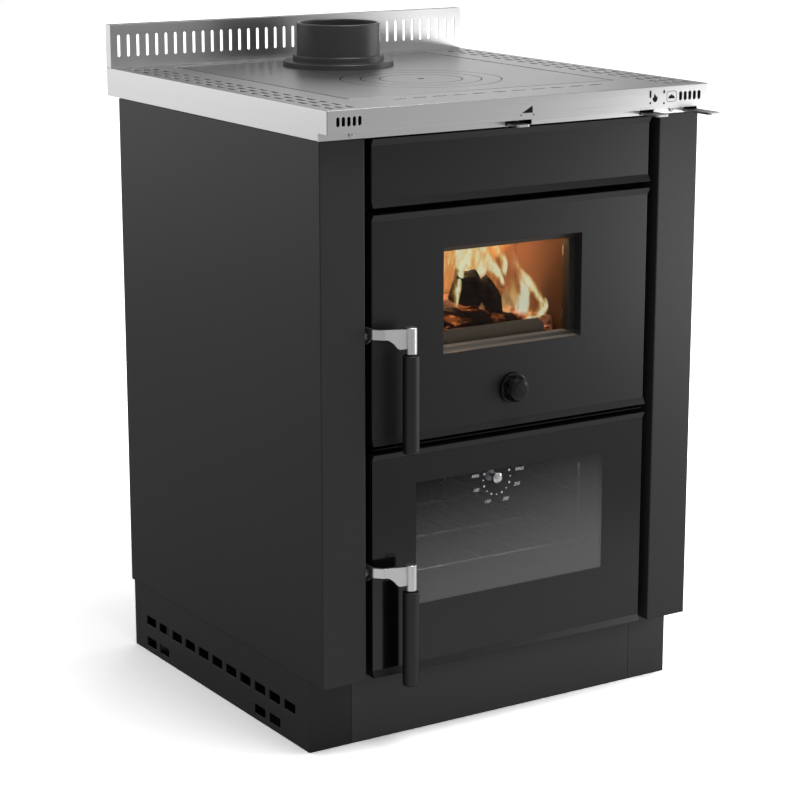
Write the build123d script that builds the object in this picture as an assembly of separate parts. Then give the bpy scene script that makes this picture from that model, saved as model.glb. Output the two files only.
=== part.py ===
"""Wood-burning cookstove, modelled as the separate pieces it is built from.

Millimetres, +Z up. X runs to the right of a person facing the stove, Y runs to its back.
The origin is on the floor, under the middle of the whole stove with its levers.
Depths are counted from the worktop's front face, so each piece is placed by where it sits behind it.
"""

import math
import os

from build123d import *

os.makedirs("parts", exist_ok=True)

# ---- driving dimensions ----
WIDTH = 600.0  # side panels and worktop, outside
DEPTH = 620.0  # worktop, front face to rear edge
HOB_HEIGHT = 860.0  # floor to the top of the worktop
TOP_RISE = 61.7  # splashback and flue spigot above the worktop
LEVER_REACH = 34.0  # the longest lever stands this far in front of the worktop

BODY_BOTTOM = 101.5  # underside of the side panels, top of the plinth
BODY_TOP = 819.5  # top of the side panels, under the worktop's skirts
POST_DEPTH = 19.6  # front face of the corner posts
BODY_REAR = 582.0  # rear face of the side panels
POST_WIDTH = 66.0
SHEET = 1.5  # folded sheet steel of panels and worktop

FRAME_FRONT = 66.0  # the doors close against this plane
FRAME_BACK = 69.0
CASING_HALF = 235.0  # inner body, outside
CASING_REAR = 558.0

DOOR_HALF = 221.0  # fascia and both doors
FACE_DEPTH = 25.0  # their flat faces
LIP_FRONT = 20.5  # the flared lips along their top and bottom edges
LIP_HEIGHT = 9.0
SKIN = 2.0
SKIN_BACK = 45.0
OVEN_DOOR_Z = (102.3, 406.8)
FIRE_DOOR_Z = (418.8, 720.7)
FASCIA_Z = (729.8, 817.6)
LEDGE_Z = (411.4, 413.4)

FIRE_WINDOW = (111.0, 528.0, 669.0)  # half width, low and high edge
OVEN_WINDOW = (153.0, 192.4, 360.0)
FIRE_MOUTH = (150.0, 448.5, 691.0)
OVEN_MOUTH = (168.0, 150.0, 376.0)

HINGE_X = 214.0  # both doors turn about this upright line
HINGE_DEPTH = 36.0
HINGE_INSET = 30.0  # hinge height from the door's top and bottom edges
HINGE_PIN_R = 4.0
RUNNING = 0.05  # radial clearance of a turning pin

ARM_X = (-228.0, -224.0)  # handle arm, in the gap beside the doors
HANDLE_TOPS = {"fire": 576.2, "oven": 258.6}  # top of the barrel on each handle
BARREL_X = -177.0
BARREL_R = 7.8
BARREL_LENGTH = 35.5
GRIP_R = 11.1
GRIP_LENGTH = 132.0
GRIP_NECK = 1.5
HANDLE_PIVOT_DEPTH = 36.0
HANDLE_PIVOT_DROP = 14.0  # pivot below the barrel's top

AIR_KNOB_Z = 469.0
THERMOMETER_X = -26.9
THERMOMETER_Z = 349.3

HOB_HALF = 210.0
HOB_DEPTHS = (98.0, 570.0)
HOB_THICK = 8.0
HOB_GAP = 4.0  # between the hob plate and the worktop
RING_DEPTH = 252.0  # centre of the cooking rings
RING_RADII = (111.4, 83.7, 57.2)  # holes in the plate, the outer ring and the inner ring
RING_LEDGE = 5.0
FLUE_DEPTH = 473.0  # centre of the flue
FLUE_R = 60.0  # spigot for a 120 mm pipe
FLUE_BORE_R = 55.0
COLLAR_R = 80.0

BLADE_Z = (821.0, 824.0)  # the three lever blades
BLADE_WIDTH = 21.0
AIR_BLADE_X = -7.5
BYPASS_BLADE_X = 211.5
OVEN_BLADE_X = 286.0
DAMPER_TRAVEL = 44.0

# ---- worked out from them ----
FRONT = -(DEPTH + LEVER_REACH) / 2 + LEVER_REACH  # y of the worktop's front face
HALF = WIDTH / 2
POST_INNER = HALF - POST_WIDTH
TOP = HOB_HEIGHT + TOP_RISE


# ---- helpers ----
def slab(x, d, z):
    """Box between two sides, two depths and two heights."""
    size = (x[1] - x[0], d[1] - d[0], z[1] - z[0])
    middle = ((x[0] + x[1]) / 2, FRONT + (d[0] + d[1]) / 2, (z[0] + z[1]) / 2)
    return Pos(*middle) * Box(*size)


def across(half, d, z):
    """Box centred on the stove's middle."""
    return slab((-half, half), d, z)


def bar_x(x, d, z, radius):
    return Pos((x[0] + x[1]) / 2, FRONT + d, z) * Rot(0, 90, 0) * Cylinder(radius, x[1] - x[0])


def bar_y(x, d, z, radius):
    return Pos(x, FRONT + (d[0] + d[1]) / 2, z) * Rot(90, 0, 0) * Cylinder(radius, d[1] - d[0])


def bar_z(x, d, z, radius):
    return Pos(x, FRONT + d, (z[0] + z[1]) / 2) * Cylinder(radius, z[1] - z[0])


def prism_x(outline, x):
    """Solid with an outline of (depth, height) points, from x[0] to x[1]."""
    points = [(x[0], FRONT + d, z) for d, z in outline]
    return extrude(make_face(Polyline(points, close=True)), x[1] - x[0], dir=(1, 0, 0))


def prism_y(outline, d):
    """Solid with an outline of (x, height) points, from depth d[0] to d[1]."""
    points = [(x, FRONT + d[0], z) for x, z in outline]
    return extrude(make_face(Polyline(points, close=True)), d[1] - d[0], dir=(0, 1, 0))


def prism_z(outline, z):
    """Solid with an outline of (x, depth) points, from height z[0] to z[1]."""
    points = [(x, FRONT + d, z[0]) for x, d in outline]
    return extrude(make_face(Polyline(points, close=True)), z[1] - z[0], dir=(0, 0, 1))


def mirrored(shape):
    return mirror(shape, about=Plane.YZ)


def oblong(centre, along, normal, length, width, through):
    """Cutter for a slot with round ends."""
    plane = Plane(origin=centre, x_dir=along, z_dir=normal)
    return extrude(plane * SlotOverall(length, width), through, both=True)


def ring_sheet(outer, inner, d, z=None):
    """Upright rectangular ring between two (half width, low, high) rectangles."""
    hole = across(inner[0], (d[0] - 1, d[1] + 1), inner[1:])
    return across(outer[0], d, outer[1:]) - hole


def front_folds(shape, depth):
    """The upright edges of a folded sheet that lie at one depth."""
    place = FRONT + depth
    return shape.edges().filter_by(Axis.Z).filter_by_position(Axis.Y, place - 0.1, place + 0.1)


def save(shape, name):
    export_step(shape, f"parts/{name}.step")


# ---- plinth, base and feet ----
PLINTH_HALF = 297.8
PLINTH_DEPTHS = (60.5, 578.0)
PLINTH_SHEET = 2.0
PLINTH_FRONT = (PLINTH_DEPTHS[0], PLINTH_DEPTHS[0] + PLINTH_SHEET)
PLINTH_BACK = (PLINTH_DEPTHS[1] - PLINTH_SHEET, PLINTH_DEPTHS[1])
PLINTH_RETURN = 64.8
VENT_SIZE = (30.0, 14.0)
VENT_FIRST_DEPTH = 112.7
VENT_PITCH = 41.2
VENT_ROW_Z = 48.8
LOW_VENT_Z = 15.6


def plinth_side():
    """Left plinth panel: one folded sheet, round the front corner, with its rows of air vents."""
    outer = -PLINTH_HALF
    panel = slab((outer, outer + PLINTH_SHEET), PLINTH_DEPTHS, (0, BODY_BOTTOM))
    panel += slab((outer, outer + PLINTH_RETURN), PLINTH_FRONT, (0, BODY_BOTTOM))
    upper_row = [(place, VENT_ROW_Z) for place in range(11)]
    lower_row = [(place, LOW_VENT_Z) for place in (1, 2, 9, 10)]
    vents = []
    for place, height in upper_row + lower_row:
        middle = VENT_FIRST_DEPTH + place * VENT_PITCH
        vents.append(
            slab(
                (outer - 1, outer + PLINTH_SHEET + 1),
                (middle - VENT_SIZE[0] / 2, middle + VENT_SIZE[0] / 2),
                (height - VENT_SIZE[1] / 2, height + VENT_SIZE[1] / 2),
            )
        )
    return panel - vents


def levelling_feet():
    """Four threaded feet, each a stem on a round pad."""
    feet = []
    for x in (-262.0, 262.0):
        for d in (98.0, 540.0):
            pad = bar_z(x, d, (0, 12), 20.0)
            stem = bar_z(x, d, (12, BODY_BOTTOM), 5.0)
            nut = bar_z(x, d, (84, 92), 9.0)
            feet.append(pad + stem + nut)
    return Compound(children=feet)


left_plinth = plinth_side()
save(left_plinth, "plinth_left")
save(mirrored(left_plinth), "plinth_right")
front_half = PLINTH_HALF - PLINTH_RETURN - 0.6
save(across(front_half, PLINTH_FRONT, (0, BODY_BOTTOM)), "plinth_front")
back_half = PLINTH_HALF - PLINTH_SHEET
save(across(back_half, PLINTH_BACK, (0, BODY_BOTTOM)), "plinth_back")
BASE_Z = (BODY_BOTTOM, BODY_BOTTOM + 3.0)
save(across(HALF - SHEET, (FRAME_FRONT, 578.0), BASE_Z), "base_plate")
save(levelling_feet(), "levelling_feet")


# ---- outer panels ----
def side_panel():
    """Left side panel: its front edge is folded twice into the corner post."""
    inner = -POST_INNER
    outline = [
        (-HALF, BODY_REAR),
        (-HALF, POST_DEPTH),
        (inner, POST_DEPTH),
        (inner, FRAME_FRONT),
        (inner - SHEET, FRAME_FRONT),
        (inner - SHEET, POST_DEPTH + SHEET),
        (-HALF + SHEET, POST_DEPTH + SHEET),
        (-HALF + SHEET, BODY_REAR - SHEET),
        (-HALF + 20, BODY_REAR - SHEET),
        (-HALF + 20, BODY_REAR),
    ]
    panel = prism_z(outline, (BODY_BOTTOM, BODY_TOP))
    return fillet(front_folds(panel, POST_DEPTH), 1.3)


def back_panel():
    """Rear sheet behind the side panels' return flanges, with two blocks of louvre slots."""
    rear = BODY_REAR - SHEET
    panel = across(HALF - SHEET, (rear - 1.2, rear), (BASE_Z[1], BODY_TOP))
    slots = []
    for low in (180.0, 640.0):
        for row in range(6):
            for x in (-130.0, 0.0, 130.0):
                centre = (x, FRONT + rear, low + row * 16)
                slots.append(oblong(centre, (1, 0, 0), (0, 1, 0), 90, 6, 6))
    return panel - slots


left_panel = side_panel()
save(left_panel, "side_panel_left")
save(mirrored(left_panel), "side_panel_right")
save(back_panel(), "back_panel")


# ---- front frame, with what the doors hang on and close against ----
def hinge_heights(door):
    return (door[0] + HINGE_INSET, door[1] - HINGE_INSET)


ALL_HINGES = hinge_heights(OVEN_DOOR_Z) + hinge_heights(FIRE_DOOR_Z)
AIR_HOLE_Z = 790.0
AIR_HOLE_PITCH = 24.0
AIR_HOLE_R = 7.0
FRAME_TOP = 843.0


def front_frame():
    frame = across(290.0, (FRAME_FRONT, FRAME_BACK), (BASE_Z[1], FRAME_TOP))
    through = (FRAME_FRONT - 1, FRAME_BACK + 1)
    frame -= across(FIRE_MOUTH[0], through, FIRE_MOUTH[1:])
    frame -= across(OVEN_MOUTH[0], through, OVEN_MOUTH[1:])
    for x in (BYPASS_BLADE_X, OVEN_BLADE_X):
        reach = BLADE_WIDTH / 2 + 1.5
        frame -= slab((x - reach, x + reach), through, (BLADE_Z[0] - 1.5, BLADE_Z[1] + 1.5))
    for place in (-1, 0, 1):
        frame -= bar_y(place * AIR_HOLE_PITCH, through, AIR_HOLE_Z, AIR_HOLE_R)
    return frame


TAB_R = 7.0
TAB_HALF = 2.0


def hinge_bracket(height):
    """Tab that carries one hinge pin, on a foot against the front frame."""
    z = (height - TAB_HALF, height + TAB_HALF)
    tab = slab((HINGE_X - TAB_R, HINGE_X + 2), (HINGE_DEPTH, FRAME_FRONT), z)
    tab += bar_z(HINGE_X, HINGE_DEPTH, z, TAB_R)
    foot = slab((HINGE_X - 9, HINGE_X + 9), (FRAME_FRONT - 2, FRAME_FRONT), (height - 12, height + 12))
    return tab + foot - bar_z(HINGE_X, HINGE_DEPTH, (z[0] - 1, z[1] + 1), HINGE_PIN_R + RUNNING)


KEEPER_R = 3.0
KEEPER_DEPTH = 54.0


def door_keeper(handle_top):
    """Pin over the nose of one door catch, on a plate against the front frame."""
    height = handle_top + KEEPER_R
    plate_x = (-POST_INNER + 0.2, -POST_INNER + 2.7)
    plate = slab(plate_x, (KEEPER_DEPTH - 5, FRAME_FRONT), (height - KEEPER_R, height + 10))
    return plate + bar_x((plate_x[0], ARM_X[1] + 1.5), KEEPER_DEPTH, height, KEEPER_R)


save(front_frame(), "front_frame")
save(Compound(children=[hinge_bracket(height) for height in ALL_HINGES]), "hinge_brackets")
save(Compound(children=[door_keeper(top) for top in HANDLE_TOPS.values()]), "door_keepers")
save(across(219.0, (27.0, FRAME_FRONT), LEDGE_Z), "door_ledge")


# ---- flared panels: the fascia and the two door skins ----
def lip(edge, inward):
    """Lip along one edge at height edge; inward is -1 for a top lip and 1 for a bottom one."""
    lean = (FACE_DEPTH - LIP_FRONT) / LIP_HEIGHT
    back_line = LIP_FRONT + SKIN * math.sqrt(1 + lean**2)
    meet = (FACE_DEPTH + SKIN - back_line) / lean
    outline = [
        (FACE_DEPTH, edge + inward * LIP_HEIGHT),
        (LIP_FRONT, edge),
        (SKIN_BACK, edge),
        (SKIN_BACK, edge + inward * SKIN),
        (back_line + lean * SKIN, edge + inward * SKIN),
        (FACE_DEPTH + SKIN, edge + inward * meet),
        (FACE_DEPTH + SKIN, edge + inward * LIP_HEIGHT),
    ]
    bent = prism_x(outline, (-DOOR_HALF, DOOR_HALF))
    low, high = sorted((edge, edge + inward * LIP_HEIGHT))
    cheek = slab((DOOR_HALF - SKIN, DOOR_HALF), (FACE_DEPTH + SKIN, SKIN_BACK), (low, high))
    return bent + cheek + mirrored(cheek)


def flared_panel(z):
    """Folded sheet panel between two heights, with side flanges and flared lips."""
    inner = DOOR_HALF - SKIN
    outline = [
        (-DOOR_HALF, SKIN_BACK),
        (-DOOR_HALF, FACE_DEPTH),
        (DOOR_HALF, FACE_DEPTH),
        (DOOR_HALF, SKIN_BACK),
        (inner, SKIN_BACK),
        (inner, FACE_DEPTH + SKIN),
        (-inner, FACE_DEPTH + SKIN),
        (-inner, SKIN_BACK),
    ]
    face = prism_z(outline, (z[0] + LIP_HEIGHT, z[1] - LIP_HEIGHT))
    face = fillet(front_folds(face, FACE_DEPTH), 1.6)
    return face + lip(z[1], -1) + lip(z[0], 1)


def hinge_notches(door):
    """Room in a door's right flange for the fixed hinge tabs."""
    x = (DOOR_HALF - SKIN - 1, DOOR_HALF + 1)
    depths = (FACE_DEPTH + SKIN, SKIN_BACK + 1)
    return [slab(x, depths, (height - 3.2, height + 3.2)) for height in hinge_heights(door)]


def pivot_height(name):
    return HANDLE_TOPS[name] - HANDLE_PIVOT_DROP


def handle_bore(name, x):
    return bar_x(x, HANDLE_PIVOT_DEPTH, pivot_height(name), HINGE_PIN_R + RUNNING)


def fascia_panel():
    """Fixed panel over the fire door, with two folded tabs that reach back to the front frame."""
    tab = slab((150.0, 180.0), (SKIN_BACK, FRAME_FRONT), (FASCIA_Z[1] - SKIN, FASCIA_Z[1]))
    return flared_panel(FASCIA_Z) + tab + mirrored(tab)


save(fascia_panel(), "fascia_panel")


# ---- inner door frames ----
FRAME_HALF = 205.0
FRAME_INSET = 14.5  # frame inside the skin, top and bottom
PLATE_DEPTHS = (52.0, 60.0)
GLASS_DEPTHS = (54.6, 58.6)
REBATE = 10.0
ROPE_R = 4.9
ROPE_DEPTH = FRAME_FRONT - 0.3 - ROPE_R
ROPE_INSET = 24.0  # centre of the rope inside the skin, top and bottom
ROPE_HALF = 193.0
GROOVE_DEPTH = 4.3
EAR_DEPTHS = (29.3, 43.0)  # ears of the inner frame that hold the hinge and handle pins
STEP_DEPTH = 41.0  # the fire door's reveal steps in here
FIRE_THROAT = (101.5, 533.0, 660.5)  # half width, low and high edge of its opening behind the step


def rope_path(door):
    """Centre line of the rope seal, on the back of an inner door frame."""
    low, high = door[0] + ROPE_INSET, door[1] - ROPE_INSET
    plane = Plane(origin=(0, FRONT + ROPE_DEPTH, (low + high) / 2), x_dir=(1, 0, 0), z_dir=(0, -1, 0))
    return plane * RectangleRounded(2 * ROPE_HALF, high - low, 24)


def rope_seal(door):
    path = rope_path(door).face().outer_wire()
    start = path @ 0
    section = Plane(origin=start, z_dir=path % 0) * Circle(ROPE_R)
    return sweep(section, path=path)


def inner_frame(door, window, throat, name, front):
    """Cast inner frame of a door: plate, rim, a reveal that narrows to the throat, ears for the pins."""
    low, high = door[0] + FRAME_INSET, door[1] - FRAME_INSET
    half, window_low, window_high = window
    inside = (FRAME_HALF - 5, low + 5, high - 5)
    rim = ring_sheet((FRAME_HALF, low, high), inside, (front, PLATE_DEPTHS[0]))
    plate = across(FRAME_HALF, PLATE_DEPTHS, (low, high))
    reveal = across(half + 3, (front, STEP_DEPTH + 4), (window_low - 3, window_high + 3))
    frame = rim + plate + reveal
    frame -= across(half, (20.0, STEP_DEPTH), (window_low, window_high))
    half, low, high = throat
    frame += across(half + 3, (STEP_DEPTH, PLATE_DEPTHS[0]), (low - 3, high + 3))
    gap = TAB_HALF + 0.6
    for height in hinge_heights(door):
        ear = slab((FRAME_HALF - 1, HINGE_X + 4), EAR_DEPTHS, (height - 12, height + 12))
        ear -= slab((FRAME_HALF, HINGE_X + 5), (28.0, 44.0), (height - gap, height + gap))
        frame += ear
        frame -= bar_z(HINGE_X, HINGE_DEPTH, (height - 13, height + 13), HINGE_PIN_R + 0.02)
    pivot = pivot_height(name)
    frame += slab((-DOOR_HALF + SKIN + 0.3, -FRAME_HALF + 1), EAR_DEPTHS, (pivot - 8, pivot + 8))
    frame -= handle_bore(name, (-DOOR_HALF, -FRAME_HALF + 4))
    frame -= across(half, (20.0, 70.0), (low, high))
    rebate_z = (low - REBATE, high + REBATE)
    frame -= across(half + REBATE, (GLASS_DEPTHS[0] - 0.1, 70.0), rebate_z)
    groove = rope_path(door)
    width = ROPE_R + 0.1
    groove_solid = extrude(offset(groove, width) - offset(groove, -width), 8, dir=(0, 1, 0))
    return frame - Pos(0, PLATE_DEPTHS[1] - GROOVE_DEPTH - ROPE_DEPTH, 0) * groove_solid


def inner_glass(window):
    half, low, high = window
    edge = REBATE - 0.5
    return across(half + edge, GLASS_DEPTHS, (low - edge, high + edge))


def hinge_pins(door):
    spans = [(height - 11.5, height + 11.5) for height in hinge_heights(door)]
    return Compound(children=[bar_z(HINGE_X, HINGE_DEPTH, span, HINGE_PIN_R) for span in spans])


# ---- fire door ----
AIR_PORTS = 3
AIR_PORT_R = 4.5
AIR_PORT_CIRCLE = 11.5
SPINDLE_R = 4.0
AIRWASH_Z = 681.0


def air_ports(d):
    ports = []
    for place in range(AIR_PORTS):
        angle = math.radians(90 + 360 / AIR_PORTS * place)
        x = AIR_PORT_CIRCLE * math.cos(angle)
        z = AIR_KNOB_Z + AIR_PORT_CIRCLE * math.sin(angle)
        ports.append(bar_y(x, d, z, AIR_PORT_R))
    return ports


def fire_door_panel():
    panel = flared_panel(FIRE_DOOR_Z)
    panel -= across(FIRE_WINDOW[0], (24.0, 28.0), FIRE_WINDOW[1:])
    panel -= [bar_y(0, (24.0, 28.0), AIR_KNOB_Z, SPINDLE_R + RUNNING)] + air_ports((24.0, 28.0))
    panel -= hinge_notches(FIRE_DOOR_Z)
    return panel - handle_bore("fire", (-DOOR_HALF - 1, -DOOR_HALF + SKIN + 1))


def fire_door_frame():
    """Inner frame of the fire door, with the slots that wash its glass with air."""
    frame = inner_frame(FIRE_DOOR_Z, FIRE_WINDOW, FIRE_THROAT, "fire", FACE_DEPTH + SKIN + 0.3)
    centres = [(place * 42.0, FRONT + PLATE_DEPTHS[0], AIRWASH_Z) for place in range(-3, 4)]
    return frame - [oblong(centre, (1, 0, 0), (0, 1, 0), 30, 6, 10) for centre in centres]


def glass_clip(side, height):
    """Small plate that holds the glass against the rebate, with its screw."""
    edge = FIRE_THROAT[0] + REBATE
    rear = PLATE_DEPTHS[1]
    z = (height - 7, height + 7)
    plate = slab((edge - 6, edge + 12), (rear, rear + 1.5), z)
    plate += slab((edge - 6, edge - 1), (GLASS_DEPTHS[1], rear), z)
    plate += bar_y(edge + 6, (rear + 1.5, rear + 3.2), height, 3.4)
    return plate if side > 0 else mirrored(plate)


def air_shutter():
    """Disc with ports that turns on the knob's spindle behind the door skin."""
    disc = bar_y(0, (FACE_DEPTH + SKIN + 0.4, FACE_DEPTH + SKIN + 1.8), AIR_KNOB_Z, 18.0)
    disc -= air_ports((24.0, 32.0))
    return disc + bar_y(0, (12.0, 44.0), AIR_KNOB_Z, SPINDLE_R)


def air_knob():
    """Knob with a round flange and eight shallow flutes."""
    dome = [(0, 4.5), (10.0, 5.0), (14.4, 7.5), (17.6, 14.0), (18.3, 19.5)]
    outline = dome + [(21.0, 20.5), (21.0, 24.0), (0, 24.0)]
    points = [(r, FRONT + d, AIR_KNOB_Z) for r, d in outline]
    axis = Axis((0, FRONT, AIR_KNOB_Z), (0, 1, 0))
    knob = revolve(make_face(Polyline(points, close=True)), axis)
    knob -= bar_y(0, (12.0, 25.0), AIR_KNOB_Z, SPINDLE_R + 0.02)
    for place in range(8):
        angle = math.radians(45 * place + 22.5)
        x = 22.6 * math.cos(angle)
        z = AIR_KNOB_Z + 22.6 * math.sin(angle)
        knob -= bar_y(x, (0.0, 20.0), z, 6.6)
    return knob


save(fire_door_panel(), "fire_door_panel")
save(fire_door_frame(), "fire_door_frame")
save(inner_glass(FIRE_THROAT), "fire_door_glass")
clips = [glass_clip(side, height) for side in (-1, 1) for height in (552.0, 640.0)]
save(Compound(children=clips), "glass_clips")
save(rope_seal(FIRE_DOOR_Z), "fire_door_seal")
save(hinge_pins(FIRE_DOOR_Z), "fire_hinge_pins")
save(air_shutter(), "air_shutter")
save(air_knob(), "air_knob")


# ---- oven door ----
OVEN_GLASS_THICK = 4.0


def oven_door_panel():
    """Skin of the oven door: its face is set back to take the full glass between its lips."""
    panel = flared_panel(OVEN_DOOR_Z)
    face = (OVEN_DOOR_Z[0] + LIP_HEIGHT, OVEN_DOOR_Z[1] - LIP_HEIGHT)
    seat = FACE_DEPTH + OVEN_GLASS_THICK
    panel -= across(DOOR_HALF + 1, (FACE_DEPTH - 1, seat), face)
    seat_z = (OVEN_DOOR_Z[0] + SKIN, OVEN_DOOR_Z[1] - SKIN)
    panel += across(DOOR_HALF - SKIN, (seat, seat + SKIN), seat_z)
    panel -= across(OVEN_WINDOW[0], (24.0, 36.0), OVEN_WINDOW[1:])
    ear_x = (FRAME_HALF - 2, DOOR_HALF - SKIN)
    through = (seat - 1, seat + SKIN + 1)
    room = [slab(ear_x, through, (z - 13, z + 13)) for z in hinge_heights(OVEN_DOOR_Z)]
    pivot = pivot_height("oven")
    room.append(mirrored(slab(ear_x, through, (pivot - 9, pivot + 9))))
    panel -= room + hinge_notches(OVEN_DOOR_Z)
    return panel - handle_bore("oven", (-DOOR_HALF - 1, -DOOR_HALF + SKIN + 1))


def thermometer_hole(d):
    return bar_y(THERMOMETER_X, d, THERMOMETER_Z, 3.2)


def oven_door_glass():
    face = (OVEN_DOOR_Z[0] + LIP_HEIGHT + 0.2, OVEN_DOOR_Z[1] - LIP_HEIGHT - 0.2)
    plate = across(DOOR_HALF - 0.2, (FACE_DEPTH, FACE_DEPTH + OVEN_GLASS_THICK), face)
    return plate - thermometer_hole((24.0, 30.0))


def oven_thermometer():
    """Domed cap on the front glass, on a stem that runs through both glasses into the oven."""
    outline = [(0, 15.5), (4.6, 16.2), (7.4, 18.4), (8.0, 21.6), (6.2, 23.2), (6.2, 24.8), (0, 24.8)]
    points = [(THERMOMETER_X + r, FRONT + d, THERMOMETER_Z) for r, d in outline]
    axis = Axis((THERMOMETER_X, FRONT, THERMOMETER_Z), (0, 1, 0))
    cap = revolve(make_face(Polyline(points, close=True)), axis)
    stem = bar_y(THERMOMETER_X, (24.8, 82.0), THERMOMETER_Z, 2.6)
    nut = bar_y(THERMOMETER_X, (37.0, 41.0), THERMOMETER_Z, 8.0)
    return cap + stem + nut


save(oven_door_panel(), "oven_door_panel")
save(oven_door_glass(), "oven_door_glass")
oven_frame_front = FACE_DEPTH + OVEN_GLASS_THICK + SKIN + 0.3
oven_frame = inner_frame(OVEN_DOOR_Z, OVEN_WINDOW, OVEN_WINDOW, "oven", oven_frame_front)
save(oven_frame, "oven_door_frame")
save(inner_glass(OVEN_WINDOW) - thermometer_hole((50.0, 62.0)), "oven_inner_glass")
save(rope_seal(OVEN_DOOR_Z), "oven_door_seal")
save(hinge_pins(OVEN_DOOR_Z), "oven_hinge_pins")
save(oven_thermometer(), "oven_thermometer")


# ---- door handles ----
def handle_bracket(top):
    """Cast bracket: an arm in the gap beside the door, a plate with an S-shaped edge, and a barrel."""
    middle = (ARM_X[0] + ARM_X[1]) / 2
    bend = (middle, FRONT + 14.0, top - 40)
    corner = (middle + 10.0, FRONT + 4.0, top - 40)
    tip = (BARREL_X - 4, FRONT + 0.5, top - 40)
    path = FilletPolyline((middle, FRONT + 24.0, top - 40), bend, corner, tip, radius=4)
    ribbon = extrude(trace(path, ARM_X[1] - ARM_X[0]), 50, dir=(0, 0, 1))
    edge_left = (-232, 0, top - 13.5)
    edge_right = (-170, 0, top - 27.8)
    upper_points = [(-232, 0, top - 0.5), (-214, 0, top - 0.5), (-170, 0, top - 3.5)]
    upper = Polyline([edge_left, *upper_points, edge_right])
    low_end = (-193, 0, top - 27.8)
    high_end = (-216, 0, top - 13.5)
    middle_points = [(-200.5, 0, top - 22.0), (-206.6, 0, top - 16.6)]
    curve = Spline(low_end, *middle_points, high_end, tangents=((-1, 0, 0.1), (-1, 0, 0)))
    outline = make_face(Curve() + [upper, Line(edge_right, low_end), curve, Line(high_end, edge_left)])
    plate = ribbon & (Pos(0, FRONT - 20, 0) * extrude(outline, 80, dir=(0, 1, 0)))
    gooseneck = prism_x(
        [
            (16.0, top - 0.5),
            (46.0, top - 0.5),
            (KEEPER_DEPTH + 3, top - 0.5),
            (KEEPER_DEPTH + 3, top - 7),
            (48.0, top - 9),
            (44.0, top - 22),
            (28.0, top - 22),
            (20.0, top - 15),
            (16.0, top - 13.5),
        ],
        ARM_X,
    )
    pivot = top - HANDLE_PIVOT_DROP
    pin = bar_x((ARM_X[0] - 2.5, -FRAME_HALF - 1.5), HANDLE_PIVOT_DEPTH, pivot, HINGE_PIN_R)
    pin += bar_x((ARM_X[0] - 2.5, ARM_X[0]), HANDLE_PIVOT_DEPTH, pivot, 6.0)
    barrel = bar_z(BARREL_X, 0.0, (top - BARREL_LENGTH, top), BARREL_R)
    barrel = chamfer(barrel.edges().filter_by(GeomType.CIRCLE), 0.8)
    return plate + gooseneck + pin + barrel


def handle_grip(top):
    """Hanging grip, with a narrower neck between it and the barrel."""
    low = top - BARREL_LENGTH - GRIP_LENGTH
    high = top - BARREL_LENGTH - GRIP_NECK
    grip = bar_z(BARREL_X, 0.0, (low, high), GRIP_R)
    ends = grip.edges().filter_by(GeomType.CIRCLE).sort_by(Axis.Z)
    grip = fillet(ends[0], 3.5)
    ends = grip.edges().filter_by(GeomType.CIRCLE).sort_by(Axis.Z)
    grip = fillet(ends[-1], 1.5)
    return grip + bar_z(BARREL_X, 0.0, (high - 1.0, high + GRIP_NECK), 6.0)


for name, top in HANDLE_TOPS.items():
    save(handle_bracket(top), f"{name}_handle_bracket")
    save(handle_grip(top), f"{name}_handle_grip")


# ---- oven ----
UPRIGHT_X = 165.6
RUNNER_X = 161.6
RUNNER_R = 2.2
RUNNER_HEIGHTS = (300.0, 285.5, 228.7, 214.5)
RUNNER_DEPTHS = (96.0, 440.0)
OVEN_REAR = 480.0


def oven_box():
    wall = SHEET
    half, low, high = OVEN_MOUTH
    shell = across(half + wall, (FRAME_BACK, OVEN_REAR + wall), (low - wall, high + wall))
    return shell - across(half, (FRAME_BACK - 1, OVEN_REAR), (low, high))


def rack_guide():
    """Right wire guide: two uprights and the two pairs of runners that carry racks."""
    wires = [bar_z(UPRIGHT_X, d, (180.0, 325.0), RUNNER_R) for d in RUNNER_DEPTHS]
    span = (RUNNER_DEPTHS[0] - 4, RUNNER_DEPTHS[1] + 4)
    wires += [bar_y(RUNNER_X, span, z, RUNNER_R) for z in RUNNER_HEIGHTS]
    guide = wires[0]
    for wire in wires[1:]:
        guide += wire
    return guide


RACK_Z = 219.3
RACK_WIRE_R = 2.5
RACK_THIN_R = 1.2
RACK_HALF = 160.6
RACK_DEPTHS = (75.0, 207.0, 344.0)
RACK_PITCH = 32.0


def oven_rack():
    """Wire rack: two side rails, three cross wires and ten thin wires along it."""
    front, rear = RACK_DEPTHS[0], RACK_DEPTHS[-1]
    wires = [bar_y(side * RACK_HALF, (front - 2, rear + 2), RACK_Z, RACK_WIRE_R) for side in (-1, 1)]
    wires += [bar_x((-RACK_HALF, RACK_HALF), d, RACK_Z, RACK_WIRE_R) for d in RACK_DEPTHS]
    thin_z = RACK_Z + RACK_WIRE_R + RACK_THIN_R - 0.6
    for place in range(-5, 5):
        wires.append(bar_y(RACK_PITCH * (place + 0.5), (front - 1, rear + 1), thin_z, RACK_THIN_R))
    rack = wires[0]
    for wire in wires[1:]:
        rack += wire
    return rack


guide = rack_guide()
save(oven_box(), "oven_box")
save(Compound(children=[guide, mirrored(guide)]), "oven_rack_guides")
save(oven_rack(), "oven_rack")

# ---- firebox ----
SHELL_HALF = 153.0
SHELL_REAR = 348.0
SHELL_FLOOR = 445.0
SHELL_WALL = 3.0
HEARTH_Z = (500.0, 515.0)
BRICK = 28.0
BRICK_TOP = 800.0
GRATE_HALF = 75.0
GRATE_DEPTHS = (110.0, 290.0)
GRATE_LOW = HEARTH_Z[1] - 8


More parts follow.
